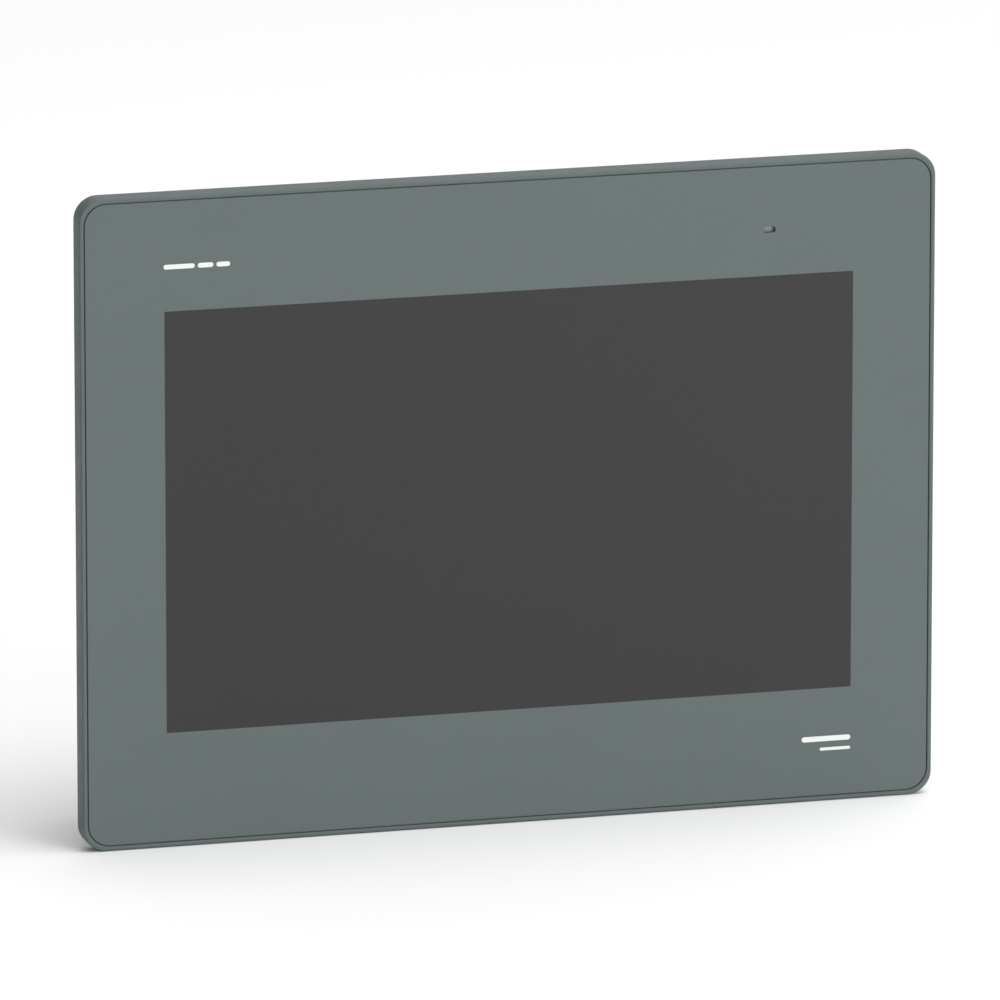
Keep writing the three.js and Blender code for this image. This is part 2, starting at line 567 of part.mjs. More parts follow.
function serialPort(x) {
  const y0 = onBoard;
  const flange = block(x - 15.4, x + 15.4, y0, y0 + 12.5, PORT_FACE + 1.0, PORT_FACE + 2.0);
  const body = block(x - 10, x + 10, y0, y0 + 11, PORT_FACE + 1.5, PORT_FACE + 12);
  const face = new THREE.Shape([
    new THREE.Vector2(-9.1, 4.1), new THREE.Vector2(-7.7, -4.1),
    new THREE.Vector2(7.7, -4.1), new THREE.Vector2(9.1, 4.1),
  ].reverse());
  const nose = slab(face, 0, 6).rotate([90, 0, 0]).translate([x, y0 + 6.25, PORT_FACE - 4.0]);
  const contact = (cx, cy) => rodZ(x + cx, y0 + 6.25 + cy, 0.5, PORT_FACE - 5, PORT_FACE - 1, 8);
  const contacts = [
    ...[-2, -1, 0, 1, 2].map((i) => contact(i * 2.76, 1.42)),
    ...[-1.5, -0.5, 0.5, 1.5].map((i) => contact(i * 2.76, -1.42)),
  ];
  const posts = [-12.5, 12.5].map((dx) => cut(
    rodZ(x + dx, y0 + 6.25, 2.4, PORT_FACE - 4.6, PORT_FACE + 1.5, 6),
    rodZ(x + dx, y0 + 6.25, 1.3, PORT_FACE - 5, PORT_FACE - 0.5, 10),
  ));
  return join(flange, body, cut(nose, ...contacts), ...posts);
}

node('serial_port', serialPort(-45), finish.platedSteel);
node('ethernet_port', modularSocket(5), finish.platedSteel);
node('usb_host_port', usbHostPort(36), finish.platedSteel);
node('usb_device_port', usbDevicePort(62), finish.platedSteel);
node('modular_serial_port', modularSocket(88), finish.blackPlastic);

// ---- power inlet and its pull-off plug --------------------------------------------------------
const pinPlaces = [-1, 0, 1].map((i) => PLUG.x + i * PLUG.pitch);

function powerInlet() {
  const mouth = BOX.bottom - 0.4;
  const shell = block(PLUG.x - 11, PLUG.x + 11, onBoard, PLUG.back + 1.2, mouth, mouth + 13);
  const half = PLUG.width / 2 + GAP;
  const cavity = block(
    PLUG.x - half, PLUG.x + half, PLUG.front - 0.4, PLUG.back + 0.4, mouth - 1, mouth + 11,
  );
  const y = (PLUG.front + PLUG.back) / 2;
  const pins = pinPlaces.map((x) => block(x - 0.5, x + 0.5, y - 0.5, y + 0.5, mouth + 2, mouth + 12));
  return join(cut(shell, cavity), ...pins);
}

function powerPlug() {
  const top = BOX.bottom - 0.4 + PLUG.engaged;
  const half = PLUG.width / 2;
  const body = block(PLUG.x - half, PLUG.x + half, PLUG.front, PLUG.back, PLUG.low, top);
  const rim = half + PLUG.gripRim;
  const grip = block(
    PLUG.x - rim, PLUG.x + rim, PLUG.front - PLUG.gripLip, PLUG.back + PLUG.gripLip, PLUG.low, PLUG.gripTop,
  );
  const y = (PLUG.front + PLUG.back) / 2;
  const wire = PLUG.wireHalf;
  const sockets = pinPlaces.map((x) => block(x - 0.9, x + 0.9, y - 0.9, y + 0.9, top - 9.4, top + 1));
  const wireHoles = pinPlaces.map((x) =>
    block(x - wire, x + wire, y - wire, y + wire, PLUG.low - 1, PLUG.low + 4));
  const screwHoles = pinPlaces.map((x) =>
    rodY(x, PLUG.screwHeight, PLUG.screwRadius + GAP, y + 0.5, PLUG.back + 2));
  return cut(join(body, grip), ...sockets, ...wireHoles, ...screwHoles);
}

function slottedScrew(radius, length, slotDepth) {
  const slot = block(-radius - 1, radius + 1, length - slotDepth, length + 1, -0.3, 0.3);
  return cut(rodY(0, 0, radius, 0, length), slot);
}

node('power_inlet', powerInlet(), finish.greenPlastic);
node('power_plug', powerPlug(), finish.greenPlastic);
const plugMiddle = (PLUG.front + PLUG.back) / 2;
pinPlaces.forEach((x, i) => node(
  `terminal_screw_${i + 1}`, slottedScrew(PLUG.screwRadius, PLUG.screwLength, 0.9), finish.screwSteel,
  panel, [x, plugMiddle + 0.8, PLUG.screwHeight],
));

// ---- case, chassis and board screws ------------------------------------------------------------
// A pan-head screw along Y: the underside of its head is at y = 0 and its head points to +Y.
function panScrew({ shank, head, headHeight }, length) {
  const profile = [
    [0, -length], [shank, -length], [shank, 0], [head, 0],
    [head, headHeight * 0.55], [head * 0.7, headHeight], [0, headHeight],
  ].map(([r, y]) => new THREE.Vector2(r, y));
  const arm = head * 0.55;
  const slot = shank * 0.25;
  return cut(
    solid(new THREE.LatheGeometry(profile, 12)),
    block(-arm, arm, headHeight * 0.45, headHeight + 1, -slot, slot),
    block(-slot, slot, headHeight * 0.45, headHeight + 1, -arm, arm),
  );
}

const chassisRear = CHASSIS.front + CHASSIS.thickness;
const screwSets = [
  { name: 'chassis_screw', places: CHASSIS_BOSSES, under: chassisRear + GAP, length: 8.0 },
  { name: 'case_screw', places: CASE_PILLARS, under: pillarSeat + GAP, length: 15.2 },
  { name: 'board_screw', places: BOARD_POSTS, under: BOARD.back + GAP, length: 8.0 },
];
for (const { name, places, under, length } of screwSets) {
  places.forEach(([x, z], i) => node(
    `${name}_${i + 1}`, panScrew(M3, length), finish.screwSteel, panel, [x, under, z],
  ));
}

// ---- four fold-out clamps ------------------------------------------------------------------------
// Drawn around the clamp's screw: the arm lies along +X when folded in, and +Z is out of the housing.
function clampClaw() {
  const { reach, halfWidth, hubRadius, hubFront, armFront, back, padFront, padDepth, hole } = CLAMP;
  const hub = rodY(0, 0, hubRadius, hubFront, back, 16);
  const arm = block(0, reach, armFront, back, -halfWidth, halfWidth);
  const leg = block(reach - padDepth, reach, padFront, back, -halfWidth, halfWidth);
  return cut(join(hub, arm, leg), rodY(0, 0, hole, hubFront - 1, back + 1));
}

function clampSlider() {
  const front = CLAMP.back + GAP;
  const rear = front + 1.5;
  const washer = block(-4.6, 4.6, front, rear, -5.0, 4.4);
  const key = block(-1.2, 1.2, front, rear, CLAMP.bayFloor - 0.8, -4.5);
  return cut(join(washer, key), rodY(0, 0, CLAMP.hole, front - 1, rear + 1));
}

const clampHeadUnder = CLAMP.back + GAP + 1.5 + GAP;
const clampScrewSize = { shank: CLAMP.shank, head: CLAMP.headRadius, headHeight: CLAMP.headHeight };

for (const { name, x, z, turn } of clampPlaces) {
  const clamp = new THREE.Group();
  clamp.position.set(x, 0, z);
  clamp.rotation.y = turn;
  node(`clamp_claw_${name}`, clampClaw(), finish.platedSteel, clamp);
  node(`clamp_slider_${name}`, clampSlider(), finish.platedSteel, clamp);
  const screw = panScrew(clampScrewSize, clampHeadUnder - CLAMP.tip);
  node(`clamp_screw_${name}`, screw, finish.screwSteel, clamp, [0, clampHeadUnder, 0]);
  panel.add(clamp);
}

export default panel;
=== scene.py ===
import bpy
import bmesh
import json
import math
from mathutils import Matrix, Vector

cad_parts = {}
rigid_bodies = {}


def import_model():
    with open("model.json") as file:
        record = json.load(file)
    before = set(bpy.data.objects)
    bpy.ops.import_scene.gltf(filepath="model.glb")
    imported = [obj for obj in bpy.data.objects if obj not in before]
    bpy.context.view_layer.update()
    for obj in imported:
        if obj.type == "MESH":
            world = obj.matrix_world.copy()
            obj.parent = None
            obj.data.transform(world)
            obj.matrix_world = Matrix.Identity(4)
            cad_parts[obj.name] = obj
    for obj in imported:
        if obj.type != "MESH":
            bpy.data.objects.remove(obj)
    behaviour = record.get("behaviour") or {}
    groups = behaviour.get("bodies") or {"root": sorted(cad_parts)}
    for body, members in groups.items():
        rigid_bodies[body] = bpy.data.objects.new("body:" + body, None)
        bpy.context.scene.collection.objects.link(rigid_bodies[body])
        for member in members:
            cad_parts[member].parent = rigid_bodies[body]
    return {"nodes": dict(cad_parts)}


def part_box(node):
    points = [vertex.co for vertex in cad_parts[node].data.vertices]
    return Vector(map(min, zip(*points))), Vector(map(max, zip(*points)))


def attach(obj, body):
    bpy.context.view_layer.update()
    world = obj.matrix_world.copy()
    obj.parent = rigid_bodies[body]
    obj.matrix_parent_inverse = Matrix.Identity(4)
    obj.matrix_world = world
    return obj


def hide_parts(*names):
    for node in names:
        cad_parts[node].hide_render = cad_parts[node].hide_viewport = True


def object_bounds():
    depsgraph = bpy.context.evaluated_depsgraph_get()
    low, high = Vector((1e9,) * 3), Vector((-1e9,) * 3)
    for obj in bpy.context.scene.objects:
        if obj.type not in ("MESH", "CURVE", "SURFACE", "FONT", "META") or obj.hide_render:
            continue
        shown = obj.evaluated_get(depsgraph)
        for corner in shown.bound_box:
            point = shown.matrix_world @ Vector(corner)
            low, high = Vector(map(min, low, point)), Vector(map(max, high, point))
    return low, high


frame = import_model()
cad_low, cad_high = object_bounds()

MM = 0.001

# ---- sizes of the front, in millimetres ------------------------------
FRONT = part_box("front_bezel")[0].y / MM
FLANGE_BACK = -0.5
LIP_BACK = 1.0
BEZEL = (278.7, 208.45, 7.5)
EDGE_ROUND = 0.65
RECESS = (275.88, 205.62, 7.19)
FILM = (275.12, 204.86, 6.81)
FILM_THICKNESS = 0.4
PRINT_THICKNESS = 0.02
FILM_FRONT = FRONT + PRINT_THICKNESS
WINDOW = (224.45, 134.95, 0.55)
lens_low, lens_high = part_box("status_light_lens")
LIGHT_X = (lens_low.x + lens_high.x) / 2 / MM
LIGHT_Z = (lens_low.z + lens_high.z) / 2 / MM
LIGHT_SLOT = (4.1, 2.0, 0.85)
LENS = (5.1, 3.0, 1.3)
LENS_POCKET = (5.7, 3.6, 1.6)
LENS_FLANGE = (9.0, 5.6, 1.5)
LENS_FACE = lens_low.y / MM
TOUCH_POCKET = (237.0, 147.0, 2.0)
LEDGE = (226.4, 136.9, 0.5)
HOUSING_POCKET = (244.8, 178.8, 4.4)
LIP = (259.0, 189.0, 5.0)
SEAL_SIZE = (272.9, 202.9, 6.5)
SEAL_BAND = 4.4
CHASSIS_BOSSES = [(x, z) for x in (-101, 101) for z in (82, -82)]
CASE_PILLARS = [(x, z) for x in (-115, 115) for z in (82, -82)]

# ---- sizes behind the front, in millimetres --------------------------
BOARD_POSTS = [(x, z) for x in (-97, 97) for z in (-30, 62)]
BOARD_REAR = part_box("main_board")[1].y / MM
ON_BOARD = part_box("processor_chip")[0].y / MM
PORT_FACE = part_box("ethernet_port")[0].z / MM
CLAMPS = {
    "top_left": (-52, 84, 1), "top_right": (52, 84, 1),
    "bottom_left": (-52, -84, -1), "bottom_right": (52, -84, -1),
}
CLAMP_HEAD_UNDER = 18.1
PIN_PLACES = (-90.08, -85.0, -79.92)
TERMINAL_HEIGHT = -65
# the board's free areas: left, bottom, right and top of each
FREE_AREAS = [
    (-58, -6, -40, 16), (-58, 44, 40, 68), (-100, -22, -62, 26), (-20, -32, 40, 4), (20, -6, 40, 40),
]


# ---- materials -------------------------------------------------------
class Finish:
    """A procedural material built around one Principled shader, read in object space."""

    def __init__(self, name, roughness=0.5, metallic=0.0, specular=0.5):
        self.material = bpy.data.materials.new(name)
        self.material.use_nodes = True
        self.tree = self.material.node_tree
        self.shader = self.tree.nodes["Principled BSDF"]
        self.shader.inputs["Roughness"].default_value = roughness
        self.shader.inputs["Metallic"].default_value = metallic
        self.shader.inputs["Specular IOR Level"].default_value = specular
        self.place = self.node("ShaderNodeTexCoord").outputs["Object"]

    def node(self, kind, **values):
        made = self.tree.nodes.new(kind)
        for key, value in values.items():
            setattr(made, key, value)
        return made

    def link(self, source, target):
        self.tree.links.new(source, target)

    def stretched(self, x=1.0, y=1.0, z=1.0):
        mapping = self.node("ShaderNodeMapping")
        mapping.inputs["Scale"].default_value = (x, y, z)
        self.link(self.place, mapping.inputs["Vector"])
        return mapping.outputs["Vector"]

    def noise(self, scale, detail=2.0, roughness=0.5, vector=None):
        noise = self.node("ShaderNodeTexNoise")
        noise.inputs["Scale"].default_value = scale
        noise.inputs["Detail"].default_value = detail
        noise.inputs["Roughness"].default_value = roughness
        self.link(vector or self.place, noise.inputs["Vector"])
        return noise.outputs["Fac"]

    def spread(self, source, low, high, start=0.3, end=0.7):
        """Maps a pattern's middle range onto low to high."""
        spread = self.node("ShaderNodeMapRange")
        for name, value in (("From Min", start), ("From Max", end), ("To Min", low), ("To Max", high)):
            spread.inputs[name].default_value = value
        self.link(source, spread.inputs["Value"])
        return spread.outputs["Result"]

    def mix(self, fac, colour_a, colour_b):
        mix = self.node("ShaderNodeMix", data_type="RGBA")
        for socket, value in ((mix.inputs[0], fac), (mix.inputs[6], colour_a), (mix.inputs[7], colour_b)):
            if isinstance(value, bpy.types.NodeSocket):
                self.link(value, socket)
            else:
                socket.default_value = value if socket is mix.inputs[0] else (*value, 1.0)
        return mix.outputs[2]

    def tint(self, colour, amount, scale):
        """The base colour, lighter and darker by amount in soft patches."""
        light = tuple(c * (1 + amount) for c in colour)
        dark = tuple(c * (1 - amount) for c in colour)
        fac = self.spread(self.noise(scale, 3.0), 0.0, 1.0)
        out = self.mix(fac, dark, light)
        self.link(out, self.shader.inputs["Base Color"])
        return out

    def vary_roughness(self, low, high, scale, vector=None):
        fac = self.spread(self.noise(scale, 3.0, vector=vector), low, high)
        self.link(fac, self.shader.inputs["Roughness"])

    def bump(self, height, strength, distance_mm):
        bump = self.node("ShaderNodeBump")
        bump.inputs["Strength"].default_value = strength
        bump.inputs["Distance"].default_value = distance_mm * MM
        self.link(height, bump.inputs["Height"])
        self.link(bump.outputs["Normal"], self.shader.inputs["Normal"])
        return bump


def moulded(name, colour, grain=2600.0, roughness=(0.48, 0.6), bump=0.35, specular=0.4, amount=0.025):
    """Moulded plastic with a fine spark-eroded grain."""
    finish = Finish(name, specular=specular)
    finish.tint(colour, amount, 55.0)
    finish.vary_roughness(*roughness, 240.0)
    grain_height = finish.noise(grain, 3.0, 0.6)
    finish.bump(grain_height, bump, 0.03)
    return finish.material


def printed_film(name, colour):
    """Matte hard-coated film with its colour printed on the back."""
    finish = Finish(name, specular=0.35)
    finish.tint(colour, 0.012, 28.0)
    finish.vary_roughness(0.5, 0.58, 420.0)
    finish.bump(finish.noise(5200.0, 2.0, 0.7), 0.22, 0.012)
    return finish.material


def screen_window(name, colour):
    """The clear, anti-glare part of the film over the dark display."""
    finish = Finish(name, specular=0.3)
    finish.tint(colour, 0.01, 18.0)
    finish.vary_roughness(0.46, 0.54, 900.0)
    finish.bump(finish.noise(7800.0, 2.0, 0.8), 0.16, 0.008)
    return finish.material


def plated_metal(name, colour, roughness=(0.24, 0.42), along="x"):
    """Zinc-plated sheet with rolling marks and soft clouding."""
    finish = Finish(name, metallic=1.0)
    finish.tint(colour, 0.07, 90.0)
    stretch = {"x": (1, 26, 26), "y": (26, 1, 26), "z": (26, 26, 1)}[along]
    lines = finish.noise(120.0, 4.0, 0.7, finish.stretched(*stretch))
    fac = finish.spread(lines, *roughness)
    finish.link(fac, finish.shader.inputs["Roughness"])
    finish.bump(lines, 0.12, 0.01)
    return finish.material


def turned_metal(name, colour, roughness=(0.18, 0.34)):
    """Bright turned or pressed metal with fine scratches."""
    finish = Finish(name, metallic=1.0)
    finish.tint(colour, 0.05, 400.0)
    finish.vary_roughness(*roughness, 1800.0)
    finish.bump(finish.noise(3600.0, 4.0, 0.7), 0.1, 0.008)
    return finish.material


def seal_rubber(name, colour):
    finish = Finish(name, specular=0.25)
    finish.tint(colour, 0.18, 140.0)
    finish.vary_roughness(0.72, 0.9, 500.0)
    finish.bump(finish.noise(1500.0, 5.0, 0.7), 0.4, 0.05)
    return finish.material


def light_lens(name, colour):
    """Milky light-guide plastic, a little cloudy."""
    finish = Finish(name, specular=0.5)
    finish.shader.inputs["Subsurface Weight"].default_value = 0.25
    finish.shader.inputs["Subsurface Scale"].default_value = 0.0008
    finish.tint(colour, 0.06, 900.0)
    finish.vary_roughness(0.26, 0.4, 1500.0)
    finish.bump(finish.noise(4200.0, 2.0), 0.12, 0.01)
    return finish.material


def solder_resist(name):
    """Green board laminate with tracks under the resist and tinned dots."""
    finish = Finish(name, roughness=0.32)
    bands = []
    for axis, direction in (("x", "X"), ("z", "Z")):
        wave = finish.node("ShaderNodeTexWave", wave_type="BANDS", bands_direction=direction)
        wave.inputs["Scale"].default_value = 190.0
        wave.inputs["Distortion"].default_value = 0.0
        finish.link(finish.place, wave.inputs["Vector"])
        bands.append(finish.spread(wave.outputs["Fac"], 0.0, 1.0, 0.62, 0.7))
    blocks = finish.node("ShaderNodeTexVoronoi", distance="CHEBYCHEV", feature="F1")
    blocks.inputs["Scale"].default_value = 70.0
    finish.link(finish.place, blocks.inputs["Vector"])
    choose = finish.spread(blocks.outputs["Color"], 0.0, 1.0, 0.49, 0.51)
    tracks = finish.mix(choose, (0, 0, 0), (1, 1, 1))
    track_mix = finish.node("ShaderNodeMix", data_type="FLOAT")
    finish.link(tracks, track_mix.inputs[0])
    finish.link(bands[0], track_mix.inputs[2])
    finish.link(bands[1], track_mix.inputs[3])
    colour = finish.mix(track_mix.outputs[0], (0.012, 0.085, 0.034), (0.03, 0.17, 0.065))
    dots = finish.node("ShaderNodeTexVoronoi", distance="EUCLIDEAN", feature="F1")
    dots.inputs["Scale"].default_value = 260.0
    finish.link(finish.place, dots.inputs["Vector"])
    tinned = finish.spread(dots.outputs["Distance"], 1.0, 0.0, 0.08, 0.1)
    final = finish.mix(tinned, colour, (0.55, 0.56, 0.55))
    finish.link(final, finish.shader.inputs["Base Color"])
    finish.bump(track_mix.outputs[0], 0.3, 0.03)
    return finish.material


def flexible_circuit(name):
    """Amber polyimide film with copper lines along its length."""
    finish = Finish(name, roughness=0.3)
    wave = finish.node("ShaderNodeTexWave", wave_type="BANDS", bands_direction="X")
    wave.inputs["Scale"].default_value = 160.0
    finish.link(finish.place, wave.inputs["Vector"])
    lines = finish.spread(wave.outputs["Fac"], 0.0, 1.0, 0.4, 0.6)
    cloud = finish.spread(finish.noise(300.0), 0.85, 1.1)
    colour = finish.mix(lines, (0.34, 0.12, 0.015), (0.5, 0.21, 0.04))
    tone = finish.node("ShaderNodeMix", data_type="RGBA", blend_type="MULTIPLY")
    tone.inputs[0].default_value = 1.0
    finish.link(colour, tone.inputs[6])
    finish.link(cloud, tone.inputs[7])
    finish.link(tone.outputs[2], finish.shader.inputs["Base Color"])
    finish.bump(lines, 0.3, 0.02)
    return finish.material


LABEL_CENTRE = sum(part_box("rating_label"), Vector()) / 2
LABEL_COLUMN = 34.0 * MM
LABEL_ROW = 8.5 * MM
LABEL_LINE = 0.18 * MM


def label_sheet(name):
    """Blank metallised label with two printed frames and a few ruled lines, without any lettering."""
    finish = Finish(name, roughness=0.35, metallic=0.25)
    brushed = finish.noise(160.0, 3.0, 0.6, finish.stretched(1, 1, 30))
    base = finish.mix(finish.spread(brushed, 0.0, 1.0), (0.5, 0.52, 0.53), (0.62, 0.64, 0.65))
    brick = finish.node("ShaderNodeTexBrick")
    brick.offset = 0.0
    sizes = {
        "Scale": 1.0, "Brick Width": LABEL_COLUMN, "Row Height": LABEL_ROW, "Mortar Size": LABEL_LINE,
    }
    for socket, value in sizes.items():
        brick.inputs[socket].default_value = value
    brick.inputs["Color1"].default_value = brick.inputs["Color2"].default_value = (0, 0, 0, 1)
    brick.inputs["Mortar"].default_value = (1, 1, 1, 1)
    turn = finish.node("ShaderNodeMapping")
    turn.inputs["Rotation"].default_value = (math.pi / 2, 0, 0)
    turn.inputs["Location"].default_value = (LABEL_COLUMN - LABEL_CENTRE.x, LABEL_CENTRE.z, 0)
    finish.link(finish.place, turn.inputs["Vector"])
    finish.link(turn.outputs["Vector"], brick.inputs["Vector"])
    colour = finish.mix(brick.outputs["Color"], base, (0.03, 0.03, 0.03))
    finish.link(colour, finish.shader.inputs["Base Color"])
    finish.bump(brushed, 0.08, 0.01)
    return finish.material


BEZEL_PLASTIC = moulded("bezel grey plastic", (0.107, 0.134, 0.132), grain=3000.0, bump=0.25, specular=0.2)
OVERLAY_PRINT = printed_film("printed grey film", (0.1015, 0.1268, 0.1247))
WINDOW_FILM = screen_window("dark screen window", (0.0268, 0.0268, 0.0268))
PRINT_WHITE = printed_film("white print", (0.76, 0.78, 0.76))
LENS_PLASTIC = light_lens("milky status lens", (0.255, 0.25, 0.262))
HOUSING_PLASTIC = moulded("housing dark plastic", (0.046, 0.05, 0.051), grain=1900.0, bump=0.5)
COVER_PLASTIC = moulded("service cover plastic", (0.05, 0.054, 0.055), grain=1900.0, bump=0.5)
SEAL_BLACK = seal_rubber("door seal rubber", (0.014, 0.014, 0.015))
FOAM_BLACK = seal_rubber("display seal foam", (0.02, 0.02, 0.021))
GLASS_DARK = screen_window("touch screen glass", (0.03, 0.032, 0.034))
CELL_GLASS = screen_window("display cell glass", (0.022, 0.022, 0.026))
DIFFUSER = moulded("light guide sheet", (0.72, 0.73, 0.73), grain=900.0, bump=0.1)
ZINC = plated_metal("zinc plated sheet", (0.56, 0.57, 0.58))
ZINC_CLAMP = plated_metal("zinc plated clamp", (0.52, 0.53, 0.55), (0.28, 0.46), "z")
NICKEL = turned_metal("nickel plated shell", (0.6, 0.6, 0.58))
SCREW_STEEL = turned_metal("bright zinc screw", (0.62, 0.63, 0.65))
GOLD = turned_metal("gold plated contact", (0.78, 0.52, 0.16))
ALUMINIUM = plated_metal("satin aluminium", (0.6, 0.61, 0.62), (0.3, 0.5), "z")
RESIST = solder_resist("green board")
POLYIMIDE = flexible_circuit("amber flexible circuit")
BLACK_PLASTIC = moulded("black moulding", (0.013, 0.013, 0.014), grain=2200.0, bump=0.3)
GREEN_PLASTIC = moulded("terminal green", (0.028, 0.2, 0.062), grain=2400.0, bump=0.25)
LABEL = label_sheet("blank rating label")
CERAMIC = moulded("chip resin", (0.016, 0.016, 0.017), grain=4200.0, bump=0.2, roughness=(0.4, 0.5))
PASSIVE = moulded("ceramic capacitor", (0.3, 0.2, 0.12), grain=5000.0, bump=0.1)


# ---- mesh helpers ----------------------------------------------------
def outline(size, x=0.0, z=0.0, steps=12):
    """A rounded rectangle (width, height, radius) as x, z pairs in mm, anticlockwise from the front."""
    width, height, radius = size
    points = []
    for corner, (sx, sz) in enumerate(((1, -1), (1, 1), (-1, 1), (-1, -1))):
        cx = x + sx * (width / 2 - radius)
        cz = z + sz * (height / 2 - radius)
        for step in range(steps + 1):
            angle = math.radians(-90 + 90 * corner + 90 * step / steps)
            points.append((cx + radius * math.cos(angle), cz + radius * math.sin(angle)))
    return points


def quarter(steps):
    """Sine and cosine of equal steps from 0 to 90 degrees."""
    angles = [math.radians(90 * step / steps) for step in range(steps + 1)]
    return [(math.sin(angle), math.cos(angle)) for angle in angles]


def inset(size, by):
    """The same rounded rectangle moved in by so many millimetres."""
    width, height, radius = size
    return (width - 2 * by, height - 2 * by, max(radius - by, 0.05))


def add_loop(bm, points, y):
    return [bm.verts.new((x * MM, y * MM, z * MM)) for x, z in points]


def bridge(bm, loop_a, loop_b, material=0):
    count = len(loop_a)
    for i in range(count):
        j = (i + 1) % count
        bm.faces.new((loop_a[i], loop_a[j], loop_b[j], loop_b[i])).material_index = material


def loft(rings, closed=False):
    """Joins (points, y) rings in order; open stacks get flat ends."""
    bm = bmesh.new()
    loops = [add_loop(bm, points, y) for points, y in rings]
    for a, b in zip(loops, loops[1:]):
        bridge(bm, a, b)
    if closed:
        bridge(bm, loops[-1], loops[0])
    else:
        bm.faces.new(list(reversed(loops[0])))
        bm.faces.new(loops[-1])
    bmesh.ops.recalc_face_normals(bm, faces=bm.faces[:])
    return bm


def block(low, high):
    bm = bmesh.new()
    bmesh.ops.create_cube(bm, size=1.0)
    for v in bm.verts:
        v.co = Vector((low[i] + (v.co[i] + 0.5) * (high[i] - low[i])) * MM for i in range(3))
    return bm


def turned(profile, centre, axis="y", sides=32):
    """A solid of revolution: profile is (radius, along) pairs in mm, along the axis from end to end."""
    bm = bmesh.new()
    cx, cy, cz = centre
    rings = []
    for radius, along in profile:
        ring = []
        for i in range(sides if radius > 0 else 1):
            angle = 2 * math.pi * i / sides
            u, w = radius * math.cos(angle), radius * math.sin(angle)
            at = {"y": (cx + u, cy + along, cz + w), "z": (cx + u, cy + w, cz + along),
                  "x": (cx + along, cy + u, cz + w)}[axis]
            ring.append(bm.verts.new(tuple(c * MM for c in at)))
        rings.append(ring)
    for a, b in zip(rings, rings[1:]):
        for i in range(sides):
            j = (i + 1) % sides
            corners = [a[i % len(a)], a[j % len(a)], b[j % len(b)], b[i % len(b)]]
            unique = list(dict.fromkeys(corners))
            if len(unique) > 2:
                bm.faces.new(unique)
    bmesh.ops.recalc_face_normals(bm, faces=bm.faces[:])
    return bm


def joined(*parts):
    """Several bmeshes as one."""
    whole = bmesh.new()
    scratch = bpy.data.meshes.new("scratch")
    for part in parts:
        part.to_mesh(scratch)
        whole.from_mesh(scratch)
        part.free()
        scratch.clear_geometry()
    bpy.data.meshes.remove(scratch)
    return whole


def as_mesh(bm, name, smooth_angle=32.0):
    mesh = bpy.data.meshes.new(name)
    bm.to_mesh(mesh)
    bm.free()
    mesh.polygons.foreach_set("use_smooth", [True] * len(mesh.polygons))
    mesh.set_sharp_from_angle(angle=math.radians(smooth_angle))
    return mesh


def piece(name, shape, materials, body="housing", stands_for=(), smooth_angle=32.0):
    """Makes a finished piece ride on its body in place of the CAD nodes that it stands for."""
    mesh = as_mesh(shape, name, smooth_angle) if isinstance(shape, bmesh.types.BMesh) else shape
    for material in materials if isinstance(materials, (list, tuple)) else [materials]:
        mesh.materials.append(material)
    obj = bpy.data.objects.new(name, mesh)
    bpy.context.scene.collection.objects.link(obj)
    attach(obj, body)
    if stands_for:
        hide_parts(*stands_for)
    return obj


def evaluated(obj):
    """The object's mesh with its modifiers applied, as a new plain mesh; the object is removed."""
    graph = bpy.context.evaluated_depsgraph_get()
    mesh = bpy.data.meshes.new_from_object(obj.evaluated_get(graph))
    bpy.data.objects.remove(obj)
    return mesh


def carved(bm, cutters=None, additions=None, within=None):
    """Joins additions to a solid, cuts cutters out of it and keeps what lies within an envelope."""
    base = bpy.data.objects.new("carving", as_mesh(bm, "carving"))
    bpy.context.scene.collection.objects.link(base)
    helpers = []
    for operation, tool in (("UNION", additions), ("DIFFERENCE", cutters), ("INTERSECT", within)):
        if tool is None:
            continue
        helper = bpy.data.objects.new("tool", as_mesh(tool, "tool"))
        bpy.context.scene.collection.objects.link(helper)
        helpers.append(helper)
        modifier = base.modifiers.new(operation, "BOOLEAN")
        modifier.operation, modifier.solver, modifier.object = operation, "EXACT", helper
    mesh = evaluated(base)
    for helper in helpers:
        bpy.data.objects.remove(helper)
    out = bmesh.new()
    out.from_mesh(mesh)
    bpy.data.meshes.remove(mesh)
    bmesh.ops.remove_doubles(out, verts=out.verts[:], dist=1e-7)
    return out


def softened(node, material, width_mm=0.2, body="housing", segments=2, cutters=None, within=None):
    """A copy of a CAD node with its flat faces merged, optional cuts made and its sharp edges rounded."""
    bm = bmesh.new()
    bm.from_mesh(frame["nodes"][node].data)
    bmesh.ops.remove_doubles(bm, verts=bm.verts[:], dist=2e-6)
    if cutters is not None or within is not None:
        bm = carved(bm, cutters, within=within)
    bmesh.ops.dissolve_limit(bm, angle_limit=math.radians(0.6), verts=bm.verts[:], edges=bm.edges[:])
    obj = bpy.data.objects.new("soft", as_mesh(bm, node))
    bpy.context.scene.collection.objects.link(obj)
    bevel = obj.modifiers.new("edge round", "BEVEL")
    bevel.width, bevel.segments = width_mm * MM, segments
    bevel.limit_method, bevel.angle_limit = "ANGLE", math.radians(34)
    bevel.use_clamp_overlap = True
    flatten = obj.modifiers.new("flat faces", "WEIGHTED_NORMAL")
    flatten.mode, flatten.weight, flatten.keep_sharp = "FACE_AREA", 100, False
    finished = evaluated(obj)
    finished.materials.clear()
    return piece(node + "_piece", finished, material, body, [node])


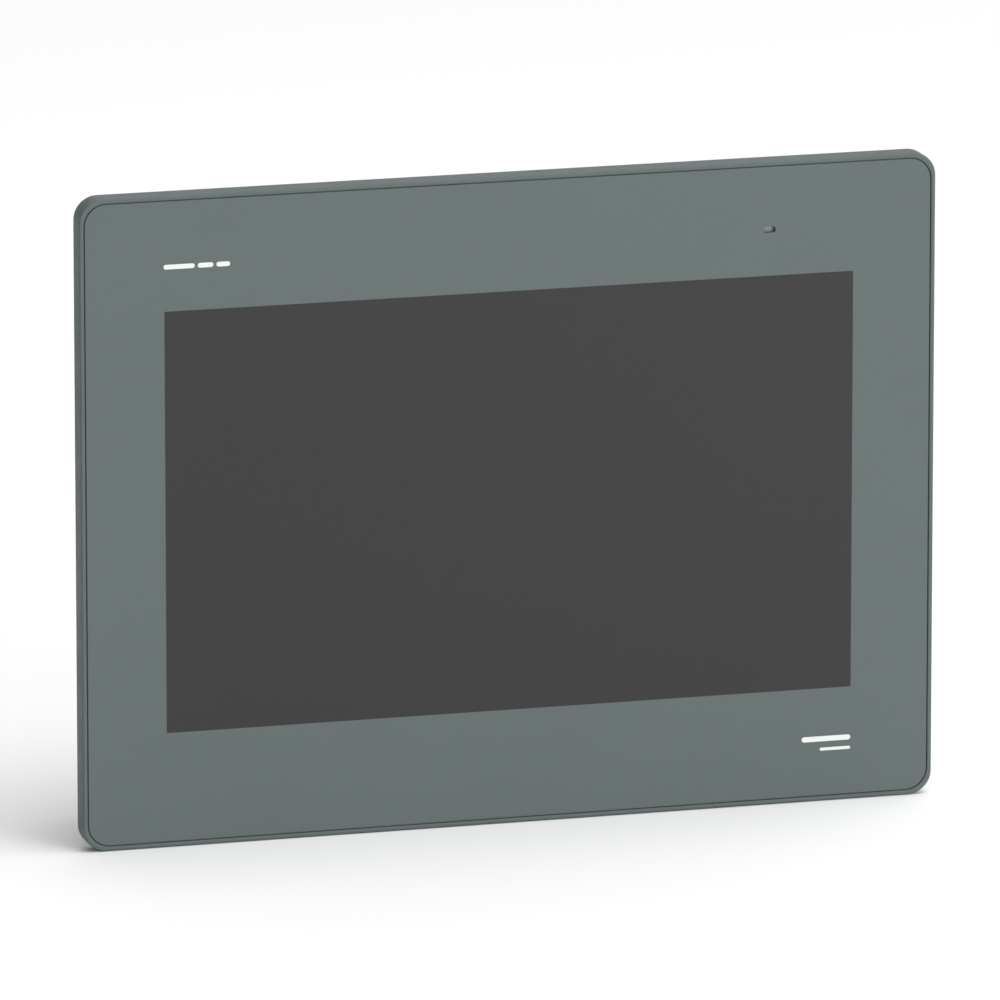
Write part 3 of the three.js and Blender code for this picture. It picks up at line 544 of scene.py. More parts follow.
# ---- front -----------------------------------------------------------
def front_bezel():
    """The moulded front frame, swept round the panel from its outer wall to the seal groove."""
    back_round = 0.3
    rings = [(inset(BEZEL, back_round), FLANGE_BACK), (BEZEL, FLANGE_BACK - back_round)]
    for sine, cosine in quarter(8):
        rings.append((inset(BEZEL, EDGE_ROUND * (1 - cosine)), FRONT + EDGE_ROUND * (1 - sine)))
    lip_round = 0.12
    for sine, cosine in quarter(3):
        rings.append((inset(RECESS, -lip_round * (1 - sine)), FRONT + lip_round * (1 - cosine)))
    recess_floor = FRONT + FILM_THICKNESS + 0.3
    touch_floor = recess_floor + 2.1
    ledge_back = touch_floor + 1.0
    seal_outer = inset(SEAL_SIZE, -0.3)
    seal_inner = inset(SEAL_SIZE, SEAL_BAND + 0.3)
    rings += [
        (RECESS, recess_floor), (TOUCH_POCKET, recess_floor), (TOUCH_POCKET, touch_floor),
        (LEDGE, touch_floor), (LEDGE, ledge_back), (HOUSING_POCKET, ledge_back), (HOUSING_POCKET, LIP_BACK),
        (inset(LIP, back_round), LIP_BACK), (LIP, LIP_BACK - back_round), (LIP, FLANGE_BACK),
        (seal_inner, FLANGE_BACK), (seal_inner, -2.0), (seal_outer, -2.0), (seal_outer, FLANGE_BACK),
    ]
    body = loft([(outline(size), y) for size, y in rings], closed=True)
    root, chamfer = -4.8, 0.25

    def boss(radius, rear, x, z):
        rim = [(radius, rear - chamfer), (radius - chamfer, rear)]
        return turned([(0, root), (radius, root), *rim, (0, rear)], (x, 0, z))

    bosses = ((CHASSIS_BOSSES, 3.3, 3.7), (CASE_PILLARS, 4.0, 2.0))
    posts = joined(*(boss(radius, rear, x, z) for places, radius, rear in bosses for x, z in places))
    cutters = joined(
        loft([(outline(LIGHT_SLOT, LIGHT_X, LIGHT_Z, 8), y) for y in (FRONT - 1, 0)]),
        loft([(outline(LENS_POCKET, LIGHT_X, LIGHT_Z, 8), y) for y in (LENS_FACE - 0.3, 0.5)]),
        *(turned([(0, -3.3), (1.85, -3.3), (1.85, 5.0), (0, 5.0)], (x, 0, z), sides=24)
          for x, z in CHASSIS_BOSSES + CASE_PILLARS),
    )
    return carved(body, cutters, posts)


def front_film():
    """One film over the whole front: printed around a clear window, with a slot for the status light."""
    edge = 0.1
    spots = {"x": LIGHT_X, "z": LIGHT_Z, "steps": 8}
    bm = bmesh.new()
    front_outer = add_loop(bm, outline(inset(FILM, edge)), FILM_FRONT)
    side_outer = add_loop(bm, outline(FILM), FILM_FRONT + edge)
    back_outer = add_loop(bm, outline(FILM), FRONT + FILM_THICKNESS)
    window = add_loop(bm, outline(WINDOW, steps=6), FILM_FRONT)
    front_slot = add_loop(bm, outline(inset(LIGHT_SLOT, -0.06), **spots), FILM_FRONT)
    side_slot = add_loop(bm, outline(LIGHT_SLOT, **spots), FILM_FRONT + 0.06)
    back_slot = add_loop(bm, outline(LIGHT_SLOT, **spots), FRONT + FILM_THICKNESS)
    bridge(bm, front_outer, side_outer)
    bridge(bm, side_outer, back_outer)
    bridge(bm, side_slot, front_slot)
    bridge(bm, back_slot, side_slot)

    def ring_edges(loop):
        return [bm.edges.get((a, b)) or bm.edges.new((a, b)) for a, b in zip(loop, loop[1:] + loop[:1])]

    bmesh.ops.triangle_fill(
        bm, use_beauty=True, edges=ring_edges(front_outer) + ring_edges(window) + ring_edges(front_slot),
    )
    bmesh.ops.triangle_fill(bm, use_beauty=True, edges=ring_edges(back_outer) + ring_edges(back_slot))
    bm.faces.new(window).material_index = 1
    bmesh.ops.recalc_face_normals(bm, faces=bm.faces[:])
    return bm


def status_lens():
    """A light guide with a flat face, a rounded rim and a flange behind the bezel."""
    at = {"x": LIGHT_X, "z": LIGHT_Z, "steps": 10}
    rim = 0.2
    rings = [
        (inset(LENS, rim * (1 - cosine)), LENS_FACE + rim * (1 - sine)) for sine, cosine in quarter(3)[::-1]
    ]
    flange_front, back = -4.0, -3.1
    rings += [(LENS, flange_front), (LENS_FLANGE, flange_front), (LENS_FLANGE, back)]
    return loft([(outline(size, **at), y) for size, y in rings])


def front_marks():
    """Plain printed bars where a maker would print a title and a mark."""
    y0, y1 = FRONT, FILM_FRONT + 0.02
    bars = [((-107.4, 81.6), (10.0, 1.5)), ((-98.9, 81.6), (5.0, 1.5)), ((-93.2, 81.6), (4.4, 1.5)),
            ((104.1, -84.0), (16.2, 1.7)), ((107.1, -87.4), (10.2, 1.0))]
    return joined(*(
        loft([(outline((w, h, h / 2 - 0.01), x, z, 6), y) for y in (y0, y1)]) for (x, z), (w, h) in bars
    ))


piece("front_bezel_moulding", front_bezel(), BEZEL_PLASTIC, stands_for=["front_bezel"])
piece("front_overlay_film", front_film(), [OVERLAY_PRINT, WINDOW_FILM],
      stands_for=["front_overlay"])
piece("front_print", front_marks(), PRINT_WHITE)
piece("status_light_guide", status_lens(), LENS_PLASTIC, stands_for=["status_light_lens"])


# ---- Geometry Nodes for what repeats or follows a path ---------------
RECTANGLE = "GeometryNodeCurvePrimitiveQuadrilateral"
FILLET = "GeometryNodeFilletCurve"
TRANSFORM = "GeometryNodeTransform"
BOX = "GeometryNodeMeshCube"
ON_POINTS = "GeometryNodeInstanceOnPoints"
RANDOM = "FunctionNodeRandomValue"


class Tree:
    """A Geometry Nodes tree with named inputs, which ends in plain geometry with its material set."""

    def __init__(self, name, **inputs):
        self.tree = bpy.data.node_groups.new(name, "GeometryNodeTree")
        face = self.tree.interface
        face.new_socket(name="Geometry", in_out="INPUT", socket_type="NodeSocketGeometry")
        self.ids = {}
        for key, value in inputs.items():
            kind = "NodeSocketInt" if isinstance(value, int) else "NodeSocketFloat"
            socket = face.new_socket(name=key.replace("_", " "), in_out="INPUT", socket_type=kind)
            socket.default_value = value
            self.ids[key] = socket.identifier
        face.new_socket(name="Geometry", in_out="OUTPUT", socket_type="NodeSocketGeometry")
        self.enter = self.tree.nodes.new("NodeGroupInput")
        self.leave = self.tree.nodes.new("NodeGroupOutput")
        self.values = inputs

    def input(self, key):
        return self.enter.outputs[key.replace("_", " ")]

    def add(self, kind, links=None, **settings):
        made = self.tree.nodes.new(kind)
        for key, value in settings.items():
            setattr(made, key, value)
        for key, value in (links or {}).items():
            if isinstance(value, bpy.types.NodeSocket):
                self.tree.links.new(value, made.inputs[key])
            else:
                made.inputs[key].default_value = value
        return made

    def math(self, operation, a, b):
        return self.add("ShaderNodeMath", {0: a, 1: b}, operation=operation).outputs[0]

    def vector(self, x=0.0, y=0.0, z=0.0):
        return self.add("ShaderNodeCombineXYZ", {"X": x, "Y": y, "Z": z}).outputs[0]

    def join(self, *parts):
        joint = self.tree.nodes.new("GeometryNodeJoinGeometry")
        for part in parts:
            self.tree.links.new(part, joint.inputs[0])
        return joint.outputs[0]

    def finish(self, geometry, material):
        real = self.add("GeometryNodeRealizeInstances", {"Geometry": geometry}).outputs[0]
        coated = self.add("GeometryNodeSetMaterial", {"Geometry": real, "Material": material}).outputs[0]
        self.tree.links.new(coated, self.leave.inputs[0])
        return self

    def grow(self, seed_mesh, smooth_angle=32.0, **values):
        """Runs the tree on a mesh and returns the result as a plain mesh."""
        obj = bpy.data.objects.new("seed", seed_mesh)
        bpy.context.scene.collection.objects.link(obj)
        modifier = obj.modifiers.new("grow", "NODES")
        modifier.node_group = self.tree
        for key, value in {**self.values, **values}.items():
            modifier[self.ids[key]] = value
        mesh = evaluated(obj)
        mesh.polygons.foreach_set("use_smooth", [True] * len(mesh.polygons))
        mesh.set_sharp_from_angle(angle=math.radians(smooth_angle))
        return mesh


def point_mesh(points):
    mesh = bpy.data.meshes.new("places")
    mesh.from_pydata([tuple(c * MM for c in p) for p in points], [], [])
    return mesh


def seal_tree(material):
    """A flat seal strip round a rounded rectangle, with two sealing ribs along it."""
    tree = Tree(
        "door seal", width=0.27, height=0.2, radius=0.006, band=0.004, thickness=0.001, rib=0.0005)

    def sweep(shrink, profile):
        width = tree.math("SUBTRACT", tree.input("width"), shrink)
        height = tree.math("SUBTRACT", tree.input("height"), shrink)
        half = tree.math("MULTIPLY", shrink, 0.5)
        radius = tree.math("SUBTRACT", tree.input("radius"), half)
        path = tree.add(RECTANGLE, {"Width": width, "Height": height})
        rounded = tree.add(
            FILLET, {"Curve": path.outputs[0], "Count": 8, "Radius": radius}, mode="POLY")
        return tree.add(
            "GeometryNodeCurveToMesh", {"Curve": rounded.outputs[0], "Profile Curve": profile}).outputs[0]

    band = tree.input("band")
    strip = tree.add(RECTANGLE, {"Width": band, "Height": tree.input("thickness")})
    eased = tree.add(
        FILLET, {"Curve": strip.outputs[0], "Count": 3, "Radius": 0.00022}, mode="POLY")
    bead = tree.add("GeometryNodeCurvePrimitiveCircle", {"Resolution": 12, "Radius": tree.input("rib")})
    base = sweep(band, eased.outputs[0])
    rise = tree.math("MULTIPLY", tree.input("thickness"), 0.5)
    ribs = tree.join(*(sweep(tree.math("MULTIPLY", band, share), bead.outputs[0]) for share in (0.5, 1.5)))
    lifted = tree.add(
        TRANSFORM, {"Geometry": ribs, "Translation": tree.vector(z=rise)}).outputs[0]
    upright = tree.add(
        TRANSFORM, {"Geometry": tree.join(base, lifted), "Rotation": (-math.pi / 2, 0, 0)}).outputs[0]
    return tree.finish(upright, material)


def row_tree(name, material):
    """A row of equal bars along X: fins, contacts, leads or ridges."""
    tree = Tree(name, count=8, pitch=0.001, wide=0.0005, deep=0.0005, tall=0.005,
                x=0.0, y=0.0, z=0.0, tilt=0.0)
    bar = tree.add(BOX, {
        "Size": tree.vector(tree.input("wide"), tree.input("deep"), tree.input("tall"))}).outputs[0]
    tilted = tree.add(TRANSFORM, {
        "Geometry": bar, "Rotation": tree.vector(x=tree.input("tilt"))}).outputs[0]
    gaps = tree.math("SUBTRACT", tree.input("count"), 1.0)
    start = tree.math("MULTIPLY", tree.math("MULTIPLY", gaps, tree.input("pitch")), -0.5)
    line = tree.add("GeometryNodeMeshLine", {
        "Count": tree.input("count"), "Offset": tree.vector(x=tree.input("pitch")),
        "Start Location": tree.vector(x=start)}).outputs[0]
    placed = tree.add(ON_POINTS, {"Points": line, "Instance": tilted}).outputs[0]
    centre = tree.vector(tree.input("x"), tree.input("y"), tree.input("z"))
    moved = tree.add(TRANSFORM, {"Geometry": placed, "Translation": centre}).outputs[0]
    return tree.finish(moved, material)


def row(tree, count, pitch, size, centre, tilt=0.0):
    """One row of bars, sized and placed in millimetres, as a plain mesh."""
    wide, deep, tall = (v * MM for v in size)
    x, y, z = (float(v * MM) for v in centre)
    return tree.grow(
        point_mesh([(0, 0, 0)]), count=count, pitch=pitch * MM, wide=wide, deep=deep, tall=tall,
        x=x, y=y, z=z, tilt=math.radians(tilt))


def copies(name, shape, places, material, scale=1.0, smooth_angle=32.0):
    """One small part repeated at every place, as a plain mesh."""
    pattern = bpy.data.objects.new("pattern", as_mesh(shape, "pattern"))
    bpy.context.scene.collection.objects.link(pattern)
    tree = Tree(name, scale=float(scale))
    info = tree.add("GeometryNodeObjectInfo", {"Object": pattern})
    factor = tree.vector(tree.input("scale"), tree.input("scale"), tree.input("scale"))
    placed = tree.add(ON_POINTS, {
        "Points": tree.enter.outputs["Geometry"], "Instance": info.outputs["Geometry"],
        "Scale": factor}).outputs[0]
    mesh = tree.finish(placed, material).grow(point_mesh(places), smooth_angle)
    bpy.data.objects.remove(pattern)
    return mesh


def scatter_tree(material):
    """Small two-ended parts set square to the board, at sizes that vary at random, spread over its free
    areas.
    """
    tree = Tree("board parts", spacing=0.004, density=60000.0, long=0.0018, thick=0.0008, seed=7)
    spread = tree.add("GeometryNodeDistributePointsOnFaces", {
        "Mesh": tree.enter.outputs["Geometry"], "Distance Min": tree.input("spacing"),
        "Density Max": tree.input("density"), "Seed": tree.input("seed")}, distribute_method="POISSON")
    body = tree.add(BOX, {
        "Size": tree.vector(tree.input("long"), tree.input("thick"), tree.input("thick"))}).outputs[0]
    turn = tree.add(RANDOM, {"Seed": tree.input("seed")}, data_type="INT")
    turn.inputs[4].default_value, turn.inputs[5].default_value = 0, 3
    angle = tree.math("MULTIPLY", turn.outputs[2], math.pi / 2)
    size = tree.add(RANDOM, {"Seed": 3}, data_type="FLOAT")
    size.inputs[2].default_value, size.inputs[3].default_value = 0.6, 1.25
    factor = tree.vector(size.outputs[1], size.outputs[1], size.outputs[1])
    placed = tree.add(ON_POINTS, {
        "Points": spread.outputs["Points"], "Instance": body, "Rotation": tree.vector(y=angle),
        "Scale": factor})
    return tree.finish(placed.outputs[0], material)


# ---- screws ----------------------------------------------------------
def pan_screw(shank, head, height, length, pitch=0.5):
    """A pan-head screw along Y with a cross recess and a rolled thread; its head rests at y = 0."""
    depth = 0.3 * pitch
    turns = int((length - 1.2) / pitch)
    profile = [(0, -length), (shank - 0.5, -length)]
    for i in range(turns):
        start = -length + 0.3 + i * pitch
        profile += [(shank - depth, start), (shank, start + 0.5 * pitch)]
    profile += [(shank - depth, -0.7), (shank, -0.4), (shank, 0), (head - 0.15, 0), (head, 0.15)]
    for sine, cosine in quarter(6)[1:-1]:
        profile.append((head * cosine ** 0.55, 0.15 + (height - 0.15) * sine))
    profile.append((0, height))
    arm, half = head * 0.6, head * 0.13
    corner = [(arm, -half), (arm, half), (half, half)]
    cross = []
    for cosine, sine in ((1, 0), (0, 1), (-1, 0), (0, -1)):
        cross += [(x * cosine - z * sine, x * sine + z * cosine) for x, z in corner]
    recess = loft([(cross, height * 0.4), (cross, height + 1)])
    return carved(turned(profile, (0, 0, 0), sides=24), recess)


def moved(bm, x=0.0, y=0.0, z=0.0):
    bmesh.ops.translate(bm, vec=Vector((x, y, z)) * MM, verts=bm.verts[:])
    return bm


def slotted_screw(x, y, z, radius=1.7, length=4.2):
    """A terminal's clamping screw with a slot and a chamfered rim."""
    profile = [(0, 0), (radius - 0.4, 0), (radius - 0.2, 0.4), (radius - 0.35, 0.8), (radius - 0.2, 1.2),
               (radius, 1.6), (radius, length - 0.2), (radius - 0.2, length), (0, length)]
    slot = block((-radius - 1, length - 0.9, -0.3), (radius + 1, length + 1, 0.3))
    return moved(carved(turned(profile, (0, 0, 0), sides=28), slot), x, y, z)


# ---- seals, display and chassis --------------------------------------
def seals():
    width, height, radius = SEAL_SIZE
    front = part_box("mounting_gasket")[0].y / MM
    rib, thickness = 0.5, 1.2
    mesh = seal_tree(SEAL_BLACK).grow(
        point_mesh([(0, 0, 0)]), width=width * MM, height=height * MM, radius=radius * MM,
        band=SEAL_BAND * MM, thickness=thickness * MM, rib=rib * MM)
    mesh.transform(Matrix.Translation((0, (front + thickness / 2) * MM, 0)))
    piece("door_seal", mesh, (), stands_for=["mounting_gasket"])
    softened("display_seal", FOAM_BLACK, 0.12)


def display():
    softened("touch_screen", GLASS_DARK, 0.12)
    softened("lcd_frame", ZINC, 0.15)
    softened("lcd_cell", CELL_GLASS, 0.1)
    softened("backlight_guide", DIFFUSER, 0.12)
    softened("lcd_rear_plate", ALUMINIUM, 0.12)
    softened("support_chassis", ZINC, 0.18)
    softened("status_light_board", RESIST, 0.08)


def flexible_strip(node, points, x0, x1, thickness=0.4, steps=6):
    """A flat flexible cable: a strip along X whose section follows one smooth curve."""
    fine = []
    for i in range(len(points) - 1):
        near = [min(max(k, 0), len(points) - 1) for k in (i - 1, i, i + 1, i + 2)]
        p0, p1, p2, p3 = (Vector(points[k]) for k in near)
        for step in range(steps):
            t = step / steps
            fine.append(0.5 * (2 * p1 + (p2 - p0) * t + (2 * p0 - 5 * p1 + 4 * p2 - p3) * t ** 2
                               + (3 * p1 - p0 - 3 * p2 + p3) * t ** 3))
    fine.append(Vector(points[-1]))
    bm = bmesh.new()
    rings = []
    for i, point in enumerate(fine):
        along = (fine[min(i + 1, len(fine) - 1)] - fine[max(i - 1, 0)]).normalized()
        across = Vector((-along.y, along.x)) * thickness / 2
        rings.append([bm.verts.new((x * MM, (point.x + s * across.x) * MM, (point.y + s * across.y) * MM))
                      for x, s in ((x0, 1), (x1, 1), (x1, -1), (x0, -1))])
    for a, b in zip(rings, rings[1:]):
        bridge(bm, a, b)
    bm.faces.new(rings[0])
    bm.faces.new(list(reversed(rings[-1])))
    bmesh.ops.recalc_face_normals(bm, faces=bm.faces[:])
    piece(node + "_strip", bm, POLYIMIDE, stands_for=[node])


# ---- main board and what stands on it --------------------------------
def board():
    softened("main_board", RESIST, 0.1)
    softened("processor_chip", CERAMIC, 0.12)
    softened("memory_chip", CERAMIC, 0.1)
    rear = BOARD_REAR + 0.02
    bm = bmesh.new()
    for x0, z0, x1, z1 in FREE_AREAS:
        corners = ((x0, z0), (x0, z1), (x1, z1), (x1, z0))
        bm.faces.new([bm.verts.new((x * MM, rear * MM, z * MM)) for x, z in corners])
    bmesh.ops.triangulate(bm, faces=bm.faces[:])
    mesh = scatter_tree(PASSIVE).grow(as_mesh(bm, "free areas"))
    mesh.transform(Matrix.Translation((0, 0.0004, 0)))
    piece("board_passives", mesh, ())
    leads = row_tree("chip leads", NICKEL)
    for side, z in (("upper", 32.5), ("lower", 17.5)):
        mesh = row(leads, 9, 1.1, (0.4, 0.25, 1.1), (-28.5, ON_BOARD + 0.12, z))
        piece(f"memory_leads_{side}", mesh, ())
    profile = [(0, 0), (3.4, 0), (3.5, 0.6), (3.2, 1.0), (3.5, 1.4), (3.5, 8.2), (3.2, 8.5), (0, 8.5)]
    places = [(x, BOARD_REAR + 0.05, -14) for x in (-92, -82, -72)]
    cans = copies("capacitor cans", turned(profile, (0, 0, 0)), places, ALUMINIUM)
    piece("power_capacitors", cans, ())


def heat_sink():
    """An extruded sink: thin fins on a base whose edges are broken."""
    low, high = (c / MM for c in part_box("heat_sink"))
    base = loft([(outline((34.0 - 2 * c, 34.0 - 2 * c, 1.0), 0, 25), y) for c, y in
                 ((0.3, low.y), (0, low.y + 0.3), (0, low.y + 1.9), (0.3, low.y + 2.2))])
    fins = row(row_tree("sink fins", ALUMINIUM), 8, 4.657, (1.4, high.y - low.y - 1.0, 33.6),
               (0, (low.y + 1.0 + high.y) / 2, 25))
    piece("heat_sink_fins", fins, (), stands_for=["heat_sink"])
    piece("heat_sink_base", base, ALUMINIUM)


def small_parts():
    low, high = (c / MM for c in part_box("buzzer"))
    y0, y1 = low.y, high.y
    profile = [(0, y0), (5.7, y0), (6.0, y0 + 0.3), (6.0, y1 - 0.6), (5.4, y1), (4.6, y1), (4.4, y1 - 0.3),
               (1.2, y1 - 0.3), (1.0, y1 - 0.5), (0.9, y1 - 1.5), (0, y1 - 1.5)]
    piece("buzzer_can", turned(profile, (-70, 0, 40), sides=40), BLACK_PLASTIC,
          stands_for=["buzzer"])
    softened("battery_holder", BLACK_PLASTIC, 0.2)
    low, high = (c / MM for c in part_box("coin_battery"))
    y0, y1 = low.y, high.y
    profile = [(0, y0), (8.4, y0), (8.6, y0 + 0.25), (8.9, y0 + 0.5), (9.6, y0 + 0.55), (9.98, y0 + 0.9),
               (9.98, y1 - 0.5), (9.7, y1 - 0.12), (9.3, y1), (7.2, y1), (7.1, y1 - 0.06), (0, y1 - 0.06)]
    piece("coin_cell", turned(profile, (60, 0, 30), sides=64), SCREW_STEEL, "coin_battery",
          stands_for=["coin_battery"])
    windows = joined(*(
        block((82 + i * 3.4, ON_BOARD + 2.2, 24), (84 + i * 3.4, ON_BOARD + 3, 30)) for i in range(3)
    ))
    softened("card_socket", NICKEL, 0.12, cutters=windows)


# ---- connectors ------------------------------------------------------
def connectors():
    softened("serial_port", NICKEL, 0.2)
    softened("ethernet_port", NICKEL, 0.2)
    softened("usb_host_port", NICKEL, 0.12)
    softened("usb_device_port", NICKEL, 0.1)
    softened("modular_serial_port", BLACK_PLASTIC, 0.2)
    contacts = row_tree("spring contacts", GOLD)
    for name, x in (("ethernet", 5), ("modular_serial", 88)):
        mesh = row(contacts, 8, 1.02, (0.36, 0.3, 8.6), (x, ON_BOARD + 3.9, PORT_FACE + 7.4), tilt=9)
        piece(f"{name}_contacts", mesh, ())
    host = row(contacts, 4, 2.3, (1.1, 0.2, 7.4), (36, ON_BOARD + 3.1, PORT_FACE + 6.6))
    piece("usb_host_contacts", host, ())
    device = row(contacts, 8, 0.7, (0.34, 0.1, 4.6), (62, ON_BOARD + 2.24, PORT_FACE + 4.6))
    piece("usb_device_contacts", device, ())
    middle = ON_BOARD + 6.25
    places = [(-45 + i * 2.76, middle + 1.42, PORT_FACE - 3.9) for i in (-2, -1, 0, 1, 2)]
    places += [(-45 + i * 2.76, middle - 1.42, PORT_FACE - 3.9) for i in (-1.5, -0.5, 0.5, 1.5)]
    profile = [(0, 2.6), (0.26, 2.6), (0.26, 0.1), (0.34, 0), (0.42, 0.1), (0.42, 2.9), (0, 2.9)]
    sleeve = turned(profile, (0, 0, 0), axis="z", sides=14)
    piece("serial_contacts", copies("serial contact sleeves", sleeve, places, GOLD), ())


def power_connector():
    softened("power_inlet", GREEN_PLASTIC, 0.25)
    plug_low, plug_high = (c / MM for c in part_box("power_plug"))
    sides = ((plug_low.x - 1, plug_low.x + 0.35), (plug_high.x - 0.35, plug_high.x + 1))
    ribs = joined(*(
        block((x0, plug_low.y + 2.0, z), (x1, plug_high.y - 2.0, z + 0.7))
        for z in (-70.6, -68.8, -67.0, -62.6) for x0, x1 in sides
    ))
    softened("power_plug", GREEN_PLASTIC, 0.3, "power_plug", cutters=ribs)
    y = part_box("terminal_screw_1")[0].y / MM
    for i, x in enumerate(PIN_PLACES):
        node = f"terminal_screw_{i + 1}"
        screw = slotted_screw(x, y, TERMINAL_HEIGHT)
        piece(f"{node}_slotted", screw, SCREW_STEEL, node, stands_for=[node])


# ---- rear housing, cover, label --------------------------------------
def housing_envelope():
    """The housing's outside: the tray and the raised back, with a moulding's rounds at their rear."""
    tray, tray_back, tray_round = (244.0, 178.0, 4.0), 20.0, 1.6
    back, back_rear, back_round, back_z = (224.0, 134.0, 3.0), 38.0, 1.8, 9.0
    slack, root = 0.01, 0.6

    def rounded(size, rear, radius, z):
        return [
            (inset(size, radius * (1 - cosine) - slack), z, rear - radius * (1 - sine) + slack)
            for sine, cosine in quarter(6)
        ]

    rings = [(inset(tray, -slack), 0.0, -6.0)]
    rings += rounded(tray, tray_back, tray_round, 0.0)
    rings.append((inset(back, -root - slack), back_z, tray_back + slack))
    rings.append((inset(back, -slack), back_z, tray_back + root))
    rings += rounded(back, back_rear, back_round, back_z)
    return loft([(outline(size, 0.0, z, 8), y) for size, z, y in rings])


def rear():
    ribs = joined(*(
        loft([(outline((1.0, 44.0, 0.48), x, -33.0, 6), y) for y in (37.7, 38.5)])
        for x in range(10, 98, 8)
    ))
    softened("rear_housing", HOUSING_PLASTIC, 0.25,
             cutters=ribs, within=housing_envelope())
    low, high = (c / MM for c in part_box("service_cover"))
    middle = (low.x + high.x) / 2
    grooves = joined(*(
        loft([
            (outline((20.0 - 3.0 * i, 0.7, 0.34), middle, 15.4 + 1.7 * i, 6), y)
            for y in (high.y - 0.35, high.y + 0.5)
        ])
        for i in range(4)
    ))
    softened("service_cover", COVER_PLASTIC, 0.25, "service_cover", cutters=grooves)
    softened("rating_label", LABEL, 0.03)


# ---- clamps ----------------------------------------------------------
def clamps():
    """Four fold-out clamps; each claw's pad has serrations where it grips the door."""
    for name, (x, z, side) in CLAMPS.items():
        pad = [x + side * 13.0, x + side * 20.0]
        ridges = joined(*(
            block((min(pad) - 1, 5.0, z - 4.1 + i * 1.5), (max(pad) + 1, 6.35, z - 3.4 + i * 1.5))
            for i in range(6)
        ))
        claw, slider, screw = (f"clamp_{part}_{name}" for part in ("claw", "slider", "screw"))
        softened(claw, ZINC_CLAMP, 0.25, claw, cutters=ridges)
        softened(slider, ZINC, 0.15, slider)
        turned_screw = moved(pan_screw(2.0, 3.6, 2.2, CLAMP_HEAD_UNDER - 1.0, 0.7), x, CLAMP_HEAD_UNDER, z)
        piece(f"{screw}_threaded", turned_screw, SCREW_STEEL, screw, stands_for=[screw])


def fixed_screws():
    sets = (("chassis_screw", CHASSIS_BOSSES, 5.5, 8.0), ("case_screw", CASE_PILLARS, 12.8, 15.2),
            ("board_screw", BOARD_POSTS, BOARD_REAR + 0.3, 8.0))
    for name, places, under, length in sets:
        heads = [(x, under, z) for x, z in places]
        mesh = copies(f"{name}s", pan_screw(1.5, 2.8, 2.0, length), heads, SCREW_STEEL)
        nodes = [f"{name}_{i + 1}" for i in range(len(places))]
        piece(f"{name}s", mesh, (), stands_for=nodes)


seals()
display()
flexible_strip("touch_flex_tail", [
    (-6.5, -73.4), (-6.5, -75.6), (-6.1, -76.3), (-5, -76.4), (12, -76.4), (15.4, -74.5),
    (16.6, -70), (16.8, -60), (17.2, -53), (18.3, -49), (18.3, -42)], -7, 7)
flexible_strip("display_cable", [
    (3.0, 12), (3.0, 22), (3.6, 26), (6.5, 28.5), (13, 29.5), (16.8, 32),
    (18, 36), (18.1, 40), (18.1, 50)], -42, -26)
board()
heat_sink()
small_parts()
connectors()
power_connector()
rear()
clamps()
fixed_screws()


# ---- camera, light and floor -----------------------------------------
CAMERA_AZIMUTH = -15.994
CAMERA_ELEVATION = 12.937
CAMERA_DISTANCE = 4.12405
CAMERA_LENS = 472.37
AIM_LEFT = 0.0035375
AIM_UP = 0.0003476
STUDIO_LIGHT = 0.86
LEFT_WALL_LIGHT = 0.02


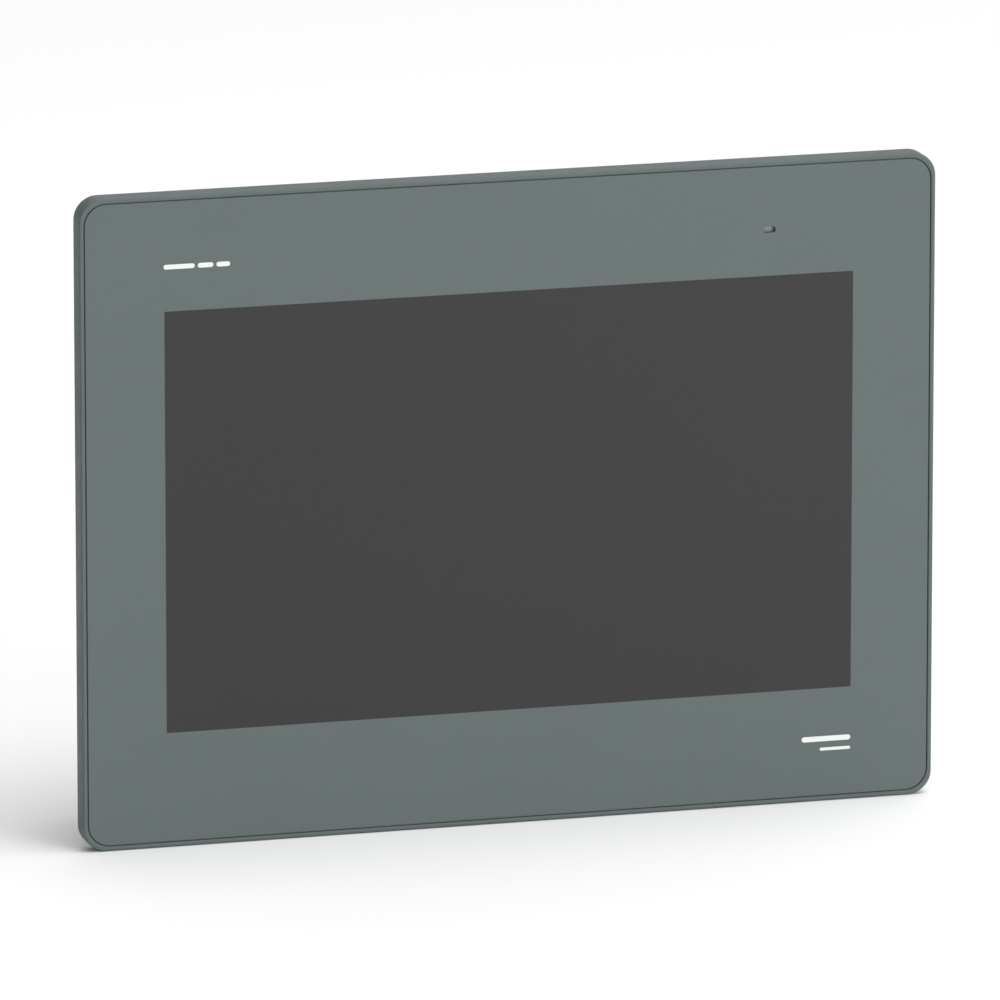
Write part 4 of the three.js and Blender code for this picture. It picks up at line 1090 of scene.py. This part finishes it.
def studio():
    """Camera to the left of the panel and a little above it, soft white light and a pale floor."""
    azimuth, elevation = math.radians(CAMERA_AZIMUTH), math.radians(CAMERA_ELEVATION)
    level = math.cos(elevation)
    back = Vector((math.sin(azimuth) * level, -math.cos(azimuth) * level, math.sin(elevation)))
    right = Vector((math.cos(azimuth), math.sin(azimuth), 0.0))
    up = back.cross(right)
    front_centre = Vector((0.0, FRONT * MM, 0.0))
    aim = front_centre - right * AIM_LEFT + up * AIM_UP
    data = bpy.data.cameras.new("camera")
    data.lens, data.sensor_width = CAMERA_LENS, 36.0
    data.clip_start, data.clip_end = 0.1, 60.0
    camera = bpy.data.objects.new("camera", data)
    turn = Matrix((right, up, back)).transposed().to_4x4()
    camera.matrix_world = Matrix.Translation(aim + back * CAMERA_DISTANCE) @ turn
    scene = bpy.context.scene
    scene.collection.objects.link(camera)
    scene.camera = camera
    scene.view_settings.view_transform = "Standard"

    world = bpy.data.worlds.new("white studio")
    world.use_nodes = True
    nodes, links = world.node_tree.nodes, world.node_tree.links
    direction = nodes.new("ShaderNodeTexCoord").outputs["Generated"]
    split = nodes.new("ShaderNodeSeparateXYZ")
    links.new(direction, split.inputs[0])
    brightness = nodes.new("ShaderNodeMapRange")
    spread = {"From Min": -1.0, "From Max": 0.2, "To Min": LEFT_WALL_LIGHT, "To Max": STUDIO_LIGHT}
    for name, value in spread.items():
        brightness.inputs[name].default_value = value
    links.new(split.outputs["X"], brightness.inputs["Value"])
    links.new(brightness.outputs["Result"], nodes["Background"].inputs["Strength"])
    nodes["Background"].inputs["Color"].default_value = (1, 1, 1, 1)
    scene.world = world

    def soft_light(name, place, energy, size):
        lamp = bpy.data.lights.new(name, "AREA")
        lamp.energy, lamp.size = energy, size
        obj = bpy.data.objects.new(name, lamp)
        obj.location = place
        obj.rotation_mode = "QUATERNION"
        obj.rotation_quaternion = (-Vector(place)).to_track_quat("-Z", "Y")
        scene.collection.objects.link(obj)

    soft_light("overhead softbox", (0.7, -0.5, 3.4), 72.0, 2.8)
    soft_light("right softbox", (2.6, -4.2, 0.7), 100.0, 2.2)

    floor_mesh = bpy.data.meshes.new("floor")
    half = 9.0
    floor_height = cad_low.z - 0.0002
    corners = ((-half, -half), (half, -half), (half, half), (-half, half))
    floor_mesh.from_pydata([(x, y, floor_height) for x, y in corners], [], [(0, 1, 2, 3)])
    floor = bpy.data.objects.new("floor", floor_mesh)
    scene.collection.objects.link(floor)
    paper = Finish("pale floor", roughness=0.9, specular=0.1)
    paper.tint((0.97, 0.97, 0.97), 0.004, 3.0)
    floor_mesh.materials.append(paper.material)


studio()
